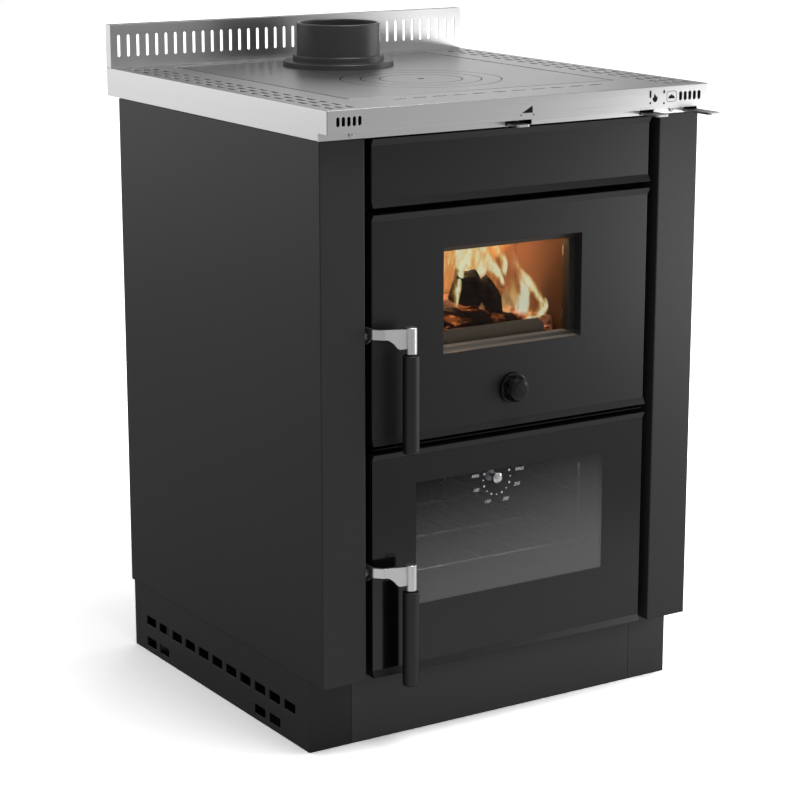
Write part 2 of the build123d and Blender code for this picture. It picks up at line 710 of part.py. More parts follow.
def firebox_shell():
    """Welded box, open at the front and the top; its back wall stops short to let the smoke out."""
    shell = across(SHELL_HALF, (FRAME_BACK, SHELL_REAR), (SHELL_FLOOR, FRAME_TOP))
    inner = SHELL_HALF - SHELL_WALL
    inside_z = (SHELL_FLOOR + SHELL_WALL, FRAME_TOP + 1)
    shell -= across(inner, (FRAME_BACK - 1, SHELL_REAR - SHELL_WALL), inside_z)
    shell -= across(inner, (SHELL_REAR - 10, SHELL_REAR + 1), (BRICK_TOP, FRAME_TOP + 1))
    for side in (-1, 1):
        low, high = sorted((side * (inner - 14), side * inner))
        shell += slab((low, high), (FRAME_BACK, SHELL_REAR - SHELL_WALL), (HEARTH_Z[0] - 3, HEARTH_Z[0]))
    return shell


def firebricks():
    """Two lining bricks on each side and two at the back."""
    inner = SHELL_HALF - SHELL_WALL - 0.4
    joint = 194.0
    front, rear = FRAME_BACK + 3, SHELL_REAR - SHELL_WALL - 0.4
    z = (HEARTH_Z[1], BRICK_TOP)
    bricks = []
    for side in (-1, 1):
        low, high = sorted((side * (inner - BRICK), side * inner))
        bricks.append(slab((low, high), (front, joint - 0.4), z))
        bricks.append(slab((low, high), (joint + 0.4, rear - BRICK - 0.5), z))
        low, high = sorted((side * 0.4, side * inner))
        bricks.append(slab((low, high), (rear - BRICK, rear), z))
    return Compound(children=[chamfer(brick.edges(), 1.2) for brick in bricks])


def hearth_plate():
    plate = across(149.4, (FRAME_BACK + 2, SHELL_REAR - SHELL_WALL - 0.5), HEARTH_Z)
    plate -= across(GRATE_HALF - 6, (GRATE_DEPTHS[0] + 6, GRATE_DEPTHS[1] - 6), (490.0, 520.0))
    return plate - across(GRATE_HALF, GRATE_DEPTHS, (GRATE_LOW, 520.0))


def grate():
    """Cast fire grate: a rectangular plate with two rows of nine slots."""
    z = (GRATE_LOW, HEARTH_Z[1] - 0.5)
    plate = across(GRATE_HALF - 1, (GRATE_DEPTHS[0] + 1, GRATE_DEPTHS[1] - 1), z)
    slots = []
    for place in range(-4, 5):
        for d in (156.0, 244.0):
            slots.append(oblong((place * 15.0, FRONT + d, HEARTH_Z[1]), (0, 1, 0), (0, 0, 1), 72, 7, 20))
    return plate - slots


def log_guard():
    """Low plate at the front of the hearth, with clipped corners."""
    low, high = HEARTH_Z[1], 547.5
    outline = [(-84, low), (-84, high - 9), (-75, high), (75, high), (84, high - 9), (84, low)]
    guard = prism_y(outline, (FRAME_BACK + 3, FRAME_BACK + 6))
    return guard + across(84.0, (FRAME_BACK + 6, FRAME_BACK + 18), (low, low + 3))


def ash_drawer():
    """Open sheet box under the grate, with a folded finger lip at its front."""
    z = (SHELL_FLOOR + SHELL_WALL, 490.0)
    half, depths = 116.0, (78.0, 320.0)
    drawer = across(half, depths, z)
    drawer -= across(half - SHEET, (depths[0] + SHEET, depths[1] - SHEET), (z[0] + SHEET, z[1] + 1))
    return drawer + across(40.0, (depths[0] - 8, depths[0]), (z[1] - SHEET, z[1]))


save(firebox_shell(), "firebox_shell")
save(firebricks(), "firebricks")
save(hearth_plate(), "hearth_plate")
save(grate(), "grate")
save(log_guard(), "log_guard")
save(ash_drawer(), "ash_drawer")


# ---- inner body and the way of the smoke ----
CASING_WALL = 2.0
DIVIDER_DEPTH = 400.0
SHAFT_DEPTH = 480.0
SHAFT_Z = 794.0
SHAFT_R = 5.0
CRANK_RISE = 26.0  # the rod's pin above the damper shaft
GATE_HALF_OPENING = 60.0
GATE_Z = (765.0, 838.0)


def inner_casing():
    """Welded body behind the front frame, open at the front and the top."""
    casing = across(CASING_HALF, (FRAME_BACK, CASING_REAR), (BASE_Z[1], FRAME_TOP))
    inner = CASING_HALF - CASING_WALL
    inside_z = (BASE_Z[1] + CASING_WALL, FRAME_TOP + 1)
    casing -= across(inner, (FRAME_BACK - 1, CASING_REAR - CASING_WALL), inside_z)
    return casing - bar_x((-CASING_HALF - 5, CASING_HALF + 5), SHAFT_DEPTH, SHAFT_Z, SHAFT_R + RUNNING)


def smoke_divider():
    """Upright wall between the firebox's smoke outlet and the flue, with the bypass opening in it."""
    oven_top = OVEN_MOUTH[2] + SHEET
    wall = across(CASING_HALF - CASING_WALL, (DIVIDER_DEPTH, DIVIDER_DEPTH + 2), (oven_top, FRAME_TOP))
    opening_z = (GATE_Z[0] + 8, GATE_Z[1] - 20)
    return wall - across(GATE_HALF_OPENING, (DIVIDER_DEPTH - 1, DIVIDER_DEPTH + 3), opening_z)


def blade(x, tip, rear):
    """Flat lever blade with rounded front corners."""
    strip = slab((x - BLADE_WIDTH / 2, x + BLADE_WIDTH / 2), (tip, rear), BLADE_Z)
    return fillet(front_folds(strip, tip), 4)


def bypass_damper():
    """Pull rod and gate in one: the gate closes the bypass opening when the rod is pushed in."""
    gate_depths = (DIVIDER_DEPTH - 3.0, DIVIDER_DEPTH - 0.3)
    gate = slab((-GATE_HALF_OPENING - 8, BYPASS_BLADE_X + BLADE_WIDTH / 2), gate_depths, GATE_Z)
    return gate + blade(BYPASS_BLADE_X, -16.0, gate_depths[0])


def oven_damper_rod():
    """Pull rod of the oven damper; a pin under its rear end drives the crank."""
    rear = SHAFT_DEPTH + DAMPER_TRAVEL / 2
    pin_z = SHAFT_Z + CRANK_RISE
    tab = slab((OVEN_BLADE_X - 4, OVEN_BLADE_X - 1), (rear - 6, rear + 6), (pin_z - 6, BLADE_Z[0]))
    pin = bar_x((OVEN_BLADE_X - 17, OVEN_BLADE_X - 1), rear, pin_z, 3.0)
    return blade(OVEN_BLADE_X, -LEVER_REACH, rear + 8) + tab + pin


def oven_damper_shaft():
    """Cross shaft through both walls of the inner body, with a slotted crank outside the right one."""
    start = math.degrees(math.atan2(CRANK_RISE, DAMPER_TRAVEL / 2))
    crank_x = (OVEN_BLADE_X - 16, OVEN_BLADE_X - 12)
    centre = Pos((crank_x[0] + crank_x[1]) / 2, FRONT + SHAFT_DEPTH, SHAFT_Z)
    arm = Pos(0, 20.0, 0) * Box(crank_x[1] - crank_x[0], 56.0, 20.0)
    slot = Pos(0, 34.0, 0) * Box(10.0, 32.0, 10.2)
    crank = centre * Rot(start, 0, 0) * (arm - slot)
    return bar_x((-CASING_HALF - 4, crank_x[0] + 1), SHAFT_DEPTH, SHAFT_Z, SHAFT_R) + crank


def damper_flap():
    """Plate on the shaft, in the smoke passage under the flue."""
    return across(210.0, (SHAFT_DEPTH - 44, SHAFT_DEPTH + 44), (SHAFT_Z + SHAFT_R, SHAFT_Z + SHAFT_R + 2.5))


AIR_TRAVEL = 18.0


def air_lever():
    """Blade and the slide it moves sideways over the frame's air holes, in one folded sheet."""
    front, rear = FRAME_FRONT - 2.8, FRAME_FRONT - 0.3
    slide = slab((AIR_BLADE_X - 40, AIR_BLADE_X + 40), (front, rear), (AIR_HOLE_Z - 14, BLADE_Z[1]))
    for place in (-1, 0, 1):
        slide -= bar_y(place * AIR_HOLE_PITCH - AIR_TRAVEL, (front - 1, rear + 1), AIR_HOLE_Z, AIR_HOLE_R)
    return slide + blade(AIR_BLADE_X, -4.5, front)


save(inner_casing(), "inner_casing")
save(smoke_divider(), "smoke_divider")
save(bypass_damper(), "bypass_damper")
save(oven_damper_rod(), "oven_damper_rod")
save(oven_damper_shaft(), "oven_damper_shaft")
save(damper_flap(), "oven_damper_flap")
save(air_lever(), "air_lever")


# ---- hob ----
PLATE_Z = (HOB_HEIGHT - HOB_THICK, HOB_HEIGHT)
STEP_Z = HOB_HEIGHT - HOB_THICK / 2
RING_PLAY = 0.5
SEAT_Z = HOB_HEIGHT - 1.0  # turned seat that locates the flue collar
SHOULDER_R = 61.5
SHOULDER_TOP = HOB_HEIGHT + 16.0


def hob_frame():
    """Flange that closes the inner body and carries the hob plate."""
    z = (FRAME_TOP, PLATE_Z[0])
    frame = across(CASING_HALF, (FRAME_FRONT, 578.0), z)
    return frame - across(200.0, (FRAME_BACK + 37, 552.0), (z[0] - 1, z[1] + 1))


def stepped_hole(radius):
    hole = bar_z(0, RING_DEPTH, (PLATE_Z[0] - 1, PLATE_Z[1] + 1), radius - RING_LEDGE)
    return hole + bar_z(0, RING_DEPTH, (STEP_Z, PLATE_Z[1] + 1), radius)


def stepped_disc(radius):
    """Disc that drops into a stepped hole of the given radius, with its top edge eased."""
    top = bar_z(0, RING_DEPTH, (STEP_Z + 0.1, PLATE_Z[1]), radius - RING_PLAY)
    top = chamfer(top.edges().filter_by(GeomType.CIRCLE).sort_by(Axis.Z)[-1], 0.6)
    return top + bar_z(0, RING_DEPTH, (PLATE_Z[0], STEP_Z + 0.1), radius - RING_LEDGE - RING_PLAY)


def hob_plate():
    plate = across(HOB_HALF, HOB_DEPTHS, PLATE_Z)
    plate = fillet(plate.edges().filter_by(Axis.Z), 3)
    plate = chamfer(plate.faces().sort_by(Axis.Z)[-1].edges(), 0.5)
    plate -= stepped_hole(RING_RADII[0])
    plate -= bar_z(0, FLUE_DEPTH, (SEAT_Z, PLATE_Z[1] + 1), COLLAR_R + 0.5)
    return plate - bar_z(0, FLUE_DEPTH, (PLATE_Z[0] - 1, PLATE_Z[1] + 1), FLUE_BORE_R + 3)


def hob_disc():
    disc = stepped_disc(RING_RADII[2])
    return disc - bar_z(0, RING_DEPTH, (PLATE_Z[1] - 5, PLATE_Z[1] + 1), 5.0)


def turned_ring(outline):
    """Ring round the flue's axis, with a section of (radius, height) points."""
    points = [(r, FRONT + FLUE_DEPTH, z) for r, z in outline]
    return revolve(make_face(Polyline(points, close=True)), Axis((0, FRONT + FLUE_DEPTH, 0), (0, 0, 1)))


def rims(ring, *places):
    """The round edges of a ring at the given (radius, height) places."""
    circles = ring.edges().filter_by(GeomType.CIRCLE)
    return [edge for edge in circles if (round(edge.radius, 2), round(edge.center().Z, 2)) in places]


def flue_collar():
    """Cast flange with a raised step, in its seat on the hob plate."""
    bore = SHOULDER_R + RUNNING
    step, flange_top = 66.0, HOB_HEIGHT + 7.5
    outline = [
        (bore, SEAT_Z),
        (COLLAR_R, SEAT_Z),
        (COLLAR_R, flange_top),
        (step, flange_top),
        (step, SHOULDER_TOP),
        (bore, SHOULDER_TOP),
    ]
    collar = turned_ring(outline)
    return fillet(rims(collar, (COLLAR_R, flange_top), (step, SHOULDER_TOP)), 1.6)


def flue_spigot():
    """Pipe stub that stands on the hob plate, held by its shoulder inside the collar."""
    outline = [
        (FLUE_BORE_R, SEAT_Z),
        (SHOULDER_R, SEAT_Z),
        (SHOULDER_R, SHOULDER_TOP),
        (FLUE_R, SHOULDER_TOP),
        (FLUE_R, TOP),
        (FLUE_BORE_R, TOP),
    ]
    spigot = turned_ring(outline)
    return fillet(rims(spigot, (FLUE_R, TOP), (FLUE_BORE_R, TOP)), 1.6)


save(hob_frame(), "hob_frame")
save(hob_plate(), "hob_plate")
save(stepped_disc(RING_RADII[0]) - stepped_hole(RING_RADII[1]), "hob_ring_outer")
save(stepped_disc(RING_RADII[1]) - stepped_hole(RING_RADII[2]), "hob_ring_inner")
save(hob_disc(), "hob_disc")
save(flue_collar(), "flue_collar")
save(flue_spigot(), "flue_spigot")

# ---- worktop, its lever strip and the splashback ----
FASCIA_HEIGHT = 30.2
SKIRT_HEIGHT = 39.8
STRIP_DEPTH = 20.4
STRIP_Z = (819.8, 829.6)
RIM_SLOT = (22.0, 6.5)
RIM_PITCH = 31.2
RIM_COLUMNS = (252.0, 267.0, 282.0)
FASCIA_SLOTS = [252.8 + 7.9 * place for place in range(5)]


def rim_slots():
    """Oblong air slots in the rim: three columns at each side, one row at front and rear."""
    slots = []
    for x in RIM_COLUMNS:
        for place in range(18):
            d = 28.0 + RIM_PITCH * place
            for side in (-1, 1):
                slots.append(oblong((side * x, FRONT + d, HOB_HEIGHT), (0, 1, 0), (0, 0, 1), *RIM_SLOT, 4))
    for place in range(-5, 6):
        x = place * RIM_PITCH
        for d in (63.0, 589.0):
            slots.append(oblong((x, FRONT + d, HOB_HEIGHT), (1, 0, 0), (0, 0, 1), *RIM_SLOT, 4))
    return slots


def worktop():
    """Folded stainless top: rim, fascia, side skirts notched at the front, a rolled edge round the hob."""
    fascia_z = HOB_HEIGHT - FASCIA_HEIGHT
    pan = across(HALF, (0, DEPTH), (HOB_HEIGHT - SKIRT_HEIGHT, HOB_HEIGHT))
    pan = fillet(pan.edges().filter_by(Axis.Z), 1.2)
    pan = fillet(pan.faces().sort_by(Axis.Z)[-1].edges(), 1.0)
    pan -= across(HALF - SHEET, (SHEET, DEPTH - SHEET), (0, HOB_HEIGHT - SHEET))
    pan -= across(HALF + 1, (-1, STRIP_DEPTH + SHEET + 0.2), (0, fascia_z))
    pan -= across(HALF - SHEET, (DEPTH - SHEET - 2, DEPTH + 1), (0, fascia_z))
    gap = (HOB_DEPTHS[0] - HOB_GAP, HOB_DEPTHS[1] + HOB_GAP)
    half = HOB_HALF + HOB_GAP
    pan += across(half + SHEET, (gap[0] - SHEET, gap[1] + SHEET), (PLATE_Z[0], HOB_HEIGHT - SHEET))
    pan -= across(half, gap, (0, HOB_HEIGHT + 1))
    front = []
    for x in FASCIA_SLOTS:
        for side in (-1, 1):
            front.append(oblong((side * x, FRONT, 845.1), (0, 0, 1), (0, 1, 0), 12.2, 5.0, 4))
    return pan - (rim_slots() + front)


SCREW_X = 253.5
SCREW_Z = 825.4
STRIP_SLOTS = ((-19.7, 22.2), (201.0 - 1.5, 222.0 + 1.5), (275.0, 297.6))


def lever_strip():
    """Stainless strip in the skirts' notches, with the slots that the levers come out of."""
    strip = across(HALF, (STRIP_DEPTH, STRIP_DEPTH + SHEET), STRIP_Z)
    strip += across(HALF - SHEET - 0.2, (STRIP_DEPTH, FRAME_FRONT), (STRIP_Z[1] - SHEET, STRIP_Z[1]))
    for x in STRIP_SLOTS:
        strip -= slab(x, (STRIP_DEPTH - 1, STRIP_DEPTH + SHEET + 1), (BLADE_Z[0] - 0.5, BLADE_Z[1] + 3.2))
    return strip


def strip_screws():
    """Two pan-head screws that hold the lever strip."""
    screws = []
    for x in (-SCREW_X, SCREW_X):
        head = bar_y(x, (STRIP_DEPTH - 2.2, STRIP_DEPTH), SCREW_Z, 3.7)
        head = fillet(head.edges().filter_by(GeomType.CIRCLE).sort_by(Axis.Y)[0], 1.4)
        head -= slab((x - 0.5, x + 0.5), (STRIP_DEPTH - 3, STRIP_DEPTH - 1.2), (SCREW_Z - 2.4, SCREW_Z + 2.4))
        head -= slab((x - 2.4, x + 2.4), (STRIP_DEPTH - 3, STRIP_DEPTH - 1.2), (SCREW_Z - 0.5, SCREW_Z + 0.5))
        screws.append(head)
    return Compound(children=screws)


SPLASH_THICK = 15.9
SPLASH_SLOTS = 39
SPLASH_PITCH = 15.1


def splashback():
    """Folded stainless upstand with a row of upright slots."""
    depths = (DEPTH - SPLASH_THICK, DEPTH)
    shell = across(HALF, depths, (HOB_HEIGHT, TOP))
    shell = fillet(front_folds(shell, depths[0]), 1.0)
    shell -= across(HALF - SHEET, (depths[0] + SHEET, depths[1] + 1), (HOB_HEIGHT - 1, TOP - SHEET))
    slots = []
    for place in range(SPLASH_SLOTS):
        x = (place - (SPLASH_SLOTS - 1) / 2) * SPLASH_PITCH
        slots.append(oblong((x, FRONT + depths[0], HOB_HEIGHT + 31.2), (0, 0, 1), (0, 1, 0), 31.5, 4.5, 5))
    return shell - slots


save(worktop(), "worktop")
save(lever_strip(), "lever_strip")
save(strip_screws(), "strip_screws")
save(splashback(), "splashback")
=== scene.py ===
"""The looks of a wood-burning cookstove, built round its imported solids. Metres, +Z up, doors towards -Y."""

import math
import random

import bmesh
import bpy
from mathutils import Matrix, Vector


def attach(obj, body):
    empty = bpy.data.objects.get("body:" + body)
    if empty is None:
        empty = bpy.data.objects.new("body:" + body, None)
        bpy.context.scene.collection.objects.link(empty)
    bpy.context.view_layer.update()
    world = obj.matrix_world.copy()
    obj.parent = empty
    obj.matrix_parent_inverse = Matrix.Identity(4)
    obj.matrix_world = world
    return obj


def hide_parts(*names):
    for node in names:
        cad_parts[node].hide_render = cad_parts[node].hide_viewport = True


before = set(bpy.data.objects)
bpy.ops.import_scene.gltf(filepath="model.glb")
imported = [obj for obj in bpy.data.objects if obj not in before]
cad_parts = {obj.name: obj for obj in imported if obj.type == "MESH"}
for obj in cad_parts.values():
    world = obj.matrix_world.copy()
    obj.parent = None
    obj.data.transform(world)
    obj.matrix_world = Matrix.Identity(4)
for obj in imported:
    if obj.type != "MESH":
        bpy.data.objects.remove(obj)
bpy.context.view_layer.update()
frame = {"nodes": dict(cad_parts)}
nodes = frame["nodes"]
scene = bpy.context.scene
scene.view_settings.view_transform = "Standard"

# ---- camera ----
# It stands off the stove's left front corner, a little above the hob, with a long lens. Its angles are in
# radians, from level and from straight towards the doors.
LOOKING_DOWN = 0.23917
TURNED_RIGHT = 0.56508
camera = bpy.data.objects.new("camera", bpy.data.cameras.new("camera"))
camera.data.sensor_width = 36.0
camera.data.lens = 107.74
camera.location = (-1.7929, -2.8147, 1.2105)
camera.rotation_euler = (math.pi / 2 - LOOKING_DOWN, 0.0, -TURNED_RIGHT)
scene.collection.objects.link(camera)
scene.camera = camera


# ---- plinth, base and feet ----
# Folded mild steel with a satin anthracite powder coat. The front and right sheets get a paler copy of the
# same coat, as painted light. The left and right sheets carry punched air vents. The base is zinc-coated
# sheet, on four threaded levelling feet.
class Value:
    """A node's output that takes part in Python arithmetic."""

    def __init__(self, nodes, socket):
        self.nodes = nodes
        self.socket = socket

    def math(self, operation, *values):
        return self.nodes.get("ShaderNodeMath", {"operation": operation}, dict(enumerate(values)))

    def __add__(self, other):
        return self.math("ADD", self, other)

    def __sub__(self, other):
        return self.math("SUBTRACT", self, other)

    def __rsub__(self, other):
        return self.math("SUBTRACT", other, self)

    def __mul__(self, other):
        return self.math("MULTIPLY", self, other)

    def __truediv__(self, other):
        return self.math("DIVIDE", self, other)

    def __pow__(self, other):
        return self.math("POWER", self, other)

    def __gt__(self, other):
        return self.math("GREATER_THAN", self, other)

    def __lt__(self, other):
        return self.math("LESS_THAN", self, other)

    __radd__ = __add__
    __rmul__ = __mul__

    def absolute(self):
        return self.math("ABSOLUTE", self)

    def sine(self):
        return self.math("SINE", self)

    def larger(self, other):
        return self.math("MAXIMUM", self, other)

    def ramp(self, low, high, start=0.0, end=1.0):
        """Smooth step from start, where this value is low, to end, where it is high."""
        settings = {"interpolation_type": "SMOOTHSTEP"}
        inputs = {"Value": self, "From Min": low, "From Max": high, "To Min": start, "To Max": end}
        return self.nodes.get("ShaderNodeMapRange", settings, inputs)

    def between(self, first, second):
        """Colour that runs from first to second as this value goes from 0 to 1."""
        return self.nodes.get("ShaderNodeMix", {"data_type": "RGBA"}, {0: self, 6: first, 7: second}, 2)


class Nodes:
    """A node tree that is filled one node at a time."""

    def __init__(self, tree):
        self.tree = tree

    def get(self, kind, settings=None, inputs=None, output=0):
        """One node with its settings and its inputs, as the value of one of its outputs."""
        node = self.tree.nodes.new(kind)
        for name, setting in (settings or {}).items():
            setattr(node, name, setting)
        for name, value in (inputs or {}).items():
            if isinstance(value, Value):
                self.tree.links.new(value.socket, node.inputs[name])
            elif node.inputs[name].type == "RGBA" and len(value) == 3:
                node.inputs[name].default_value = tuple(value) + (1.0,)
            else:
                node.inputs[name].default_value = value
        return None if output is None else Value(self, node.outputs[output])

    def mapped(self, vector, scale, turn=(0.0, 0.0, 0.0)):
        """A place that is stretched along each axis and turned, for a pattern that has a direction."""
        return self.get("ShaderNodeMapping", None, {"Vector": vector, "Scale": scale, "Rotation": turn})


class Finish(Nodes):
    """One material, whose pattern is placed on the object's own coordinates."""

    def __init__(self, name):
        self.material = bpy.data.materials.new(name)
        self.material.use_nodes = True
        super().__init__(self.material.node_tree)
        self.tree.nodes.clear()
        self.place = self.get("ShaderNodeTexCoord", output="Object")

    def along(self, axis):
        """The coordinate on one axis, in metres."""
        return self.get("ShaderNodeSeparateXYZ", None, {0: self.place}, "XYZ".index(axis))

    def faces(self, axis):
        """How far the surface faces one axis: 1 along it, -1 against it."""
        normal = self.get("ShaderNodeNewGeometry", output="Normal")
        return self.get("ShaderNodeSeparateXYZ", None, {0: normal}, "XYZ".index(axis))

    def noise(self, scale, detail=3.0, roughness=0.5, vector=None):
        inputs = {"Vector": vector or self.place, "Scale": scale, "Detail": detail, "Roughness": roughness}
        return self.get("ShaderNodeTexNoise", None, inputs)

    def bump(self, height, depth, strength=1.0, normal=None):
        inputs = {"Height": height, "Distance": depth, "Strength": strength}
        if normal:
            inputs["Normal"] = normal
        return self.get("ShaderNodeBump", None, inputs)

    def rounded(self, radius):
        """Normal that eases sharp folds and edges by a radius."""
        return self.get("ShaderNodeBevel", {"samples": 4}, {"Radius": radius})

    def surface(self, **inputs):
        """The main shader; base_color=tone sets its input called Base Color, and so on."""
        named = {name.replace("_", " ").title().replace("Ior", "IOR"): given for name, given in inputs.items()}
        return self.get("ShaderNodeBsdfPrincipled", None, named)

    def blend(self, factor, first, second):
        return self.get("ShaderNodeMixShader", None, {0: factor, 1: first, 2: second})

    def done(self, shader):
        self.get("ShaderNodeOutputMaterial", None, {"Surface": shader}, None)
        return self.material


def dress(material, *names):
    """Gives solids from the frame a material."""
    for name in names:
        nodes[name].data.materials.clear()
        nodes[name].data.materials.append(material)


def powder_coat(name, colour, rough, gloss=0.5, fold=0.0009):
    """Satin powder coat: an even film with a fine grain and a faint drift in tone; fold rounds the bends."""
    coat = Finish(name)
    cloud = coat.noise(2.5, 2.0)
    tone = cloud.between([0.9 * part for part in colour], [1.1 * part for part in colour])
    grain = coat.noise(2400.0, 2.0)
    normal = coat.bump(grain, 0.00005, 0.5, coat.rounded(fold))
    rough = cloud * 0.05 + rough
    return coat.done(coat.surface(base_color=tone, roughness=rough, normal=normal, specular_ior_level=gloss))


def zinc_coat():
    """Hot-dip zinc with a faint spangle."""
    zinc = Finish("zinc_coat")
    cells = zinc.get("ShaderNodeTexVoronoi", None, {"Vector": zinc.place, "Scale": 70.0}, "Color")
    spangle = zinc.get("ShaderNodeSeparateColor", None, {0: cells})
    tone = spangle.between((0.38, 0.39, 0.4), (0.44, 0.45, 0.46))
    rough = spangle * 0.08 + 0.38
    normal = zinc.rounded(0.0006)
    return zinc.done(zinc.surface(base_color=tone, roughness=rough, metallic=1.0, normal=normal))


body_coat = powder_coat("body_coat", (0.034, 0.034, 0.0344), rough=0.42, gloss=0.34, fold=0.002)
# Painted light: a paler copy of the body coat for the front and right sheets, though the real paint is the
# same.
plinth_coat = powder_coat("plinth_coat", (0.07, 0.07, 0.0705), rough=0.42, gloss=0.34, fold=0.002)
zinc = zinc_coat()
dress(body_coat, "plinth_left", "plinth_back")
dress(plinth_coat, "plinth_front", "plinth_right")
dress(zinc, "base_plate", "levelling_feet")

# ---- outer panels ----
# Two side panels whose front edges are folded into the corner posts, in the same coat as the plinth.
# The back is a plain zinc-coated sheet with punched louvres.
dress(body_coat, "side_panel_left", "side_panel_right")
dress(zinc, "back_panel")

# ---- front frame ----
# Welded black steel behind the doors, with the tabs that carry the hinge pins and the pins that catch the
# doors. The inner body and the divider that sends the smoke round the oven have the same black.
frame_black = powder_coat("frame_black", (0.004, 0.004, 0.004), rough=0.6, gloss=0.2)
dress(frame_black, "front_frame", "hinge_brackets", "door_keepers", "door_ledge")
dress(frame_black, "inner_casing", "smoke_divider")

# ---- fascia and door skins ----
# Folded sheet with flared lips, in a coat one shade blacker than the sides.
# Each door's skin hangs on the inner frame behind it, and the fascia is screwed to the front frame.
door_coat = powder_coat("door_coat", (0.011, 0.011, 0.0112), rough=0.34, gloss=0.36)
dress(door_coat, "fascia_panel", "fire_door_panel", "oven_door_panel")


# ---- inner door frames, clips and pins ----
# Black castings behind the skins, with plated pins, clips and air shutter. Above and below its window the fire
# door's casting carries brown bands, strongest at the left, painted to stand in for the fire's light on the
# iron.
FIRELIGHT_HALF = 0.11
FIRELIGHT_FRONT = -0.25
# Painted firelight: brown bands on the fire door's casting, as (low, high, colour).
PAINTED_FIRELIGHT_BANDS = [
    (0.52, 0.5335, (0.17, 0.14, 0.115)),
    (0.66, 0.672, (0.1, 0.066, 0.045)),
]


def casting(name, dark, pale, rough=0.55, ash=(0.16, 0.14, 0.125), bare=0.4, painted_firelight=()):
    """Cast iron with a pitted skin, a film of ash on what faces up, and painted firelight bands between
    heights.
    """
    iron = Finish(name)
    tone = iron.noise(14.0, 4.0, 0.6).between(dark, pale)
    for low, high, firelight_tone in painted_firelight:
        z = iron.along("Z")
        # Painted firelight is strongest at the left and lies only on the front faces.
        firelight_fade = iron.along("X").ramp(-FIRELIGHT_HALF, FIRELIGHT_HALF, 1.0, 0.3) * (iron.along("Y") < FIRELIGHT_FRONT)
        tone = ((z > low) * (z < high) * firelight_fade).between(tone, firelight_tone)
    tone = iron.faces("Z").ramp(0.6, 0.9).between(tone, ash)
    normal = iron.bump(iron.noise(900.0, 4.0, 0.6), 0.00025, 0.45, iron.rounded(0.0008))
    return iron.done(iron.surface(base_color=tone, roughness=rough, metallic=bare, normal=normal))


def plain_steel(name, colour, rough):
    """Turned or rolled bright steel."""
    steel = Finish(name)
    fine = steel.noise(900.0, 3.0, 0.6)
    tone = fine.between([0.9 * part for part in colour], [1.06 * part for part in colour])
    normal = steel.bump(fine, 0.00002, 0.4, steel.rounded(0.0005))
    rough = fine * 0.08 + rough
    return steel.done(steel.surface(base_color=tone, roughness=rough, metallic=1.0, normal=normal))


door_iron = casting("door_iron", (0.022, 0.02, 0.018), (0.045, 0.04, 0.036))
ashy = {"rough": 0.6, "ash": (0.2, 0.17, 0.14), "bare": 0.0}
fire_iron = casting("fire_iron", (0.016, 0.015, 0.014), (0.03, 0.027, 0.024), painted_firelight=PAINTED_FIRELIGHT_BANDS, **ashy)
pin_steel = plain_steel("pin_steel", (0.4, 0.4, 0.4), rough=0.3)
dress(door_iron, "oven_door_frame")
dress(fire_iron, "fire_door_frame")
dress(pin_steel, "fire_hinge_pins", "oven_hinge_pins", "glass_clips", "air_shutter")


# ---- rope seals ----
# Braided glass-fibre rope, pressed into a groove that runs round the back of each inner door frame.
# Four strands go each way round the rope, and it is darkened by use.
ROPE_R = 0.0049
ROPE_Y = -0.2322
ROPE_HALF = 0.193
ROPE_CORNER = 0.024
BRAID_PITCH = 0.011
BRAID_STRANDS = 4.0
STRAND_RISE = 0.0011


class Shape(Nodes):
    """A geometry tree that makes one mesh, with named inputs for its sizes."""

    def __init__(self, name, **sizes):
        super().__init__(bpy.data.node_groups.new(name, "GeometryNodeTree"))
        self.sizes = sizes
        self.keys = {}
        face = self.tree.interface
        face.new_socket("Geometry", in_out="OUTPUT", socket_type="NodeSocketGeometry")
        for size, value in sizes.items():
            kind = "NodeSocketInt" if isinstance(value, int) else "NodeSocketFloat"
            self.keys[size] = face.new_socket(size, in_out="INPUT", socket_type=kind).identifier
        self.given = self.tree.nodes.new("NodeGroupInput")

    def size(self, name):
        return Value(self, self.given.outputs[name])

    def point(self, x=0.0, y=0.0, z=0.0):
        return self.get("ShaderNodeCombineXYZ", None, {0: x, 1: y, 2: z})

    def made(self, geometry, material):
        """The finished mesh object."""
        real = self.get("GeometryNodeRealizeInstances", None, {0: geometry})
        painted = self.get("GeometryNodeSetMaterial", None, {"Geometry": real, "Material": material})
        self.get("NodeGroupOutput", None, {0: painted}, None)
        carrier = bpy.data.objects.new(self.tree.name, bpy.data.meshes.new(self.tree.name))
        scene.collection.objects.link(carrier)
        modifier = carrier.modifiers.new("shape", "NODES")
        modifier.node_group = self.tree
        for size, value in self.sizes.items():
            modifier[self.keys[size]] = value
        evaluated = carrier.evaluated_get(bpy.context.evaluated_depsgraph_get())
        mesh = bpy.data.meshes.new_from_object(evaluated)
        carrier.modifiers.clear()
        carrier.data = mesh
        return carrier


def braided_rope():
    """Dull glass fibre, grey with use."""
    rope = Finish("braided_rope")
    fibre = rope.noise(1500.0, 3.0, 0.6)
    tone = (rope.noise(25.0) * 0.6 + fibre * 0.4).between((0.035, 0.034, 0.033), (0.16, 0.155, 0.15))
    return rope.done(rope.surface(base_color=tone, roughness=0.95, normal=rope.bump(fibre, 0.0003, 0.6)))


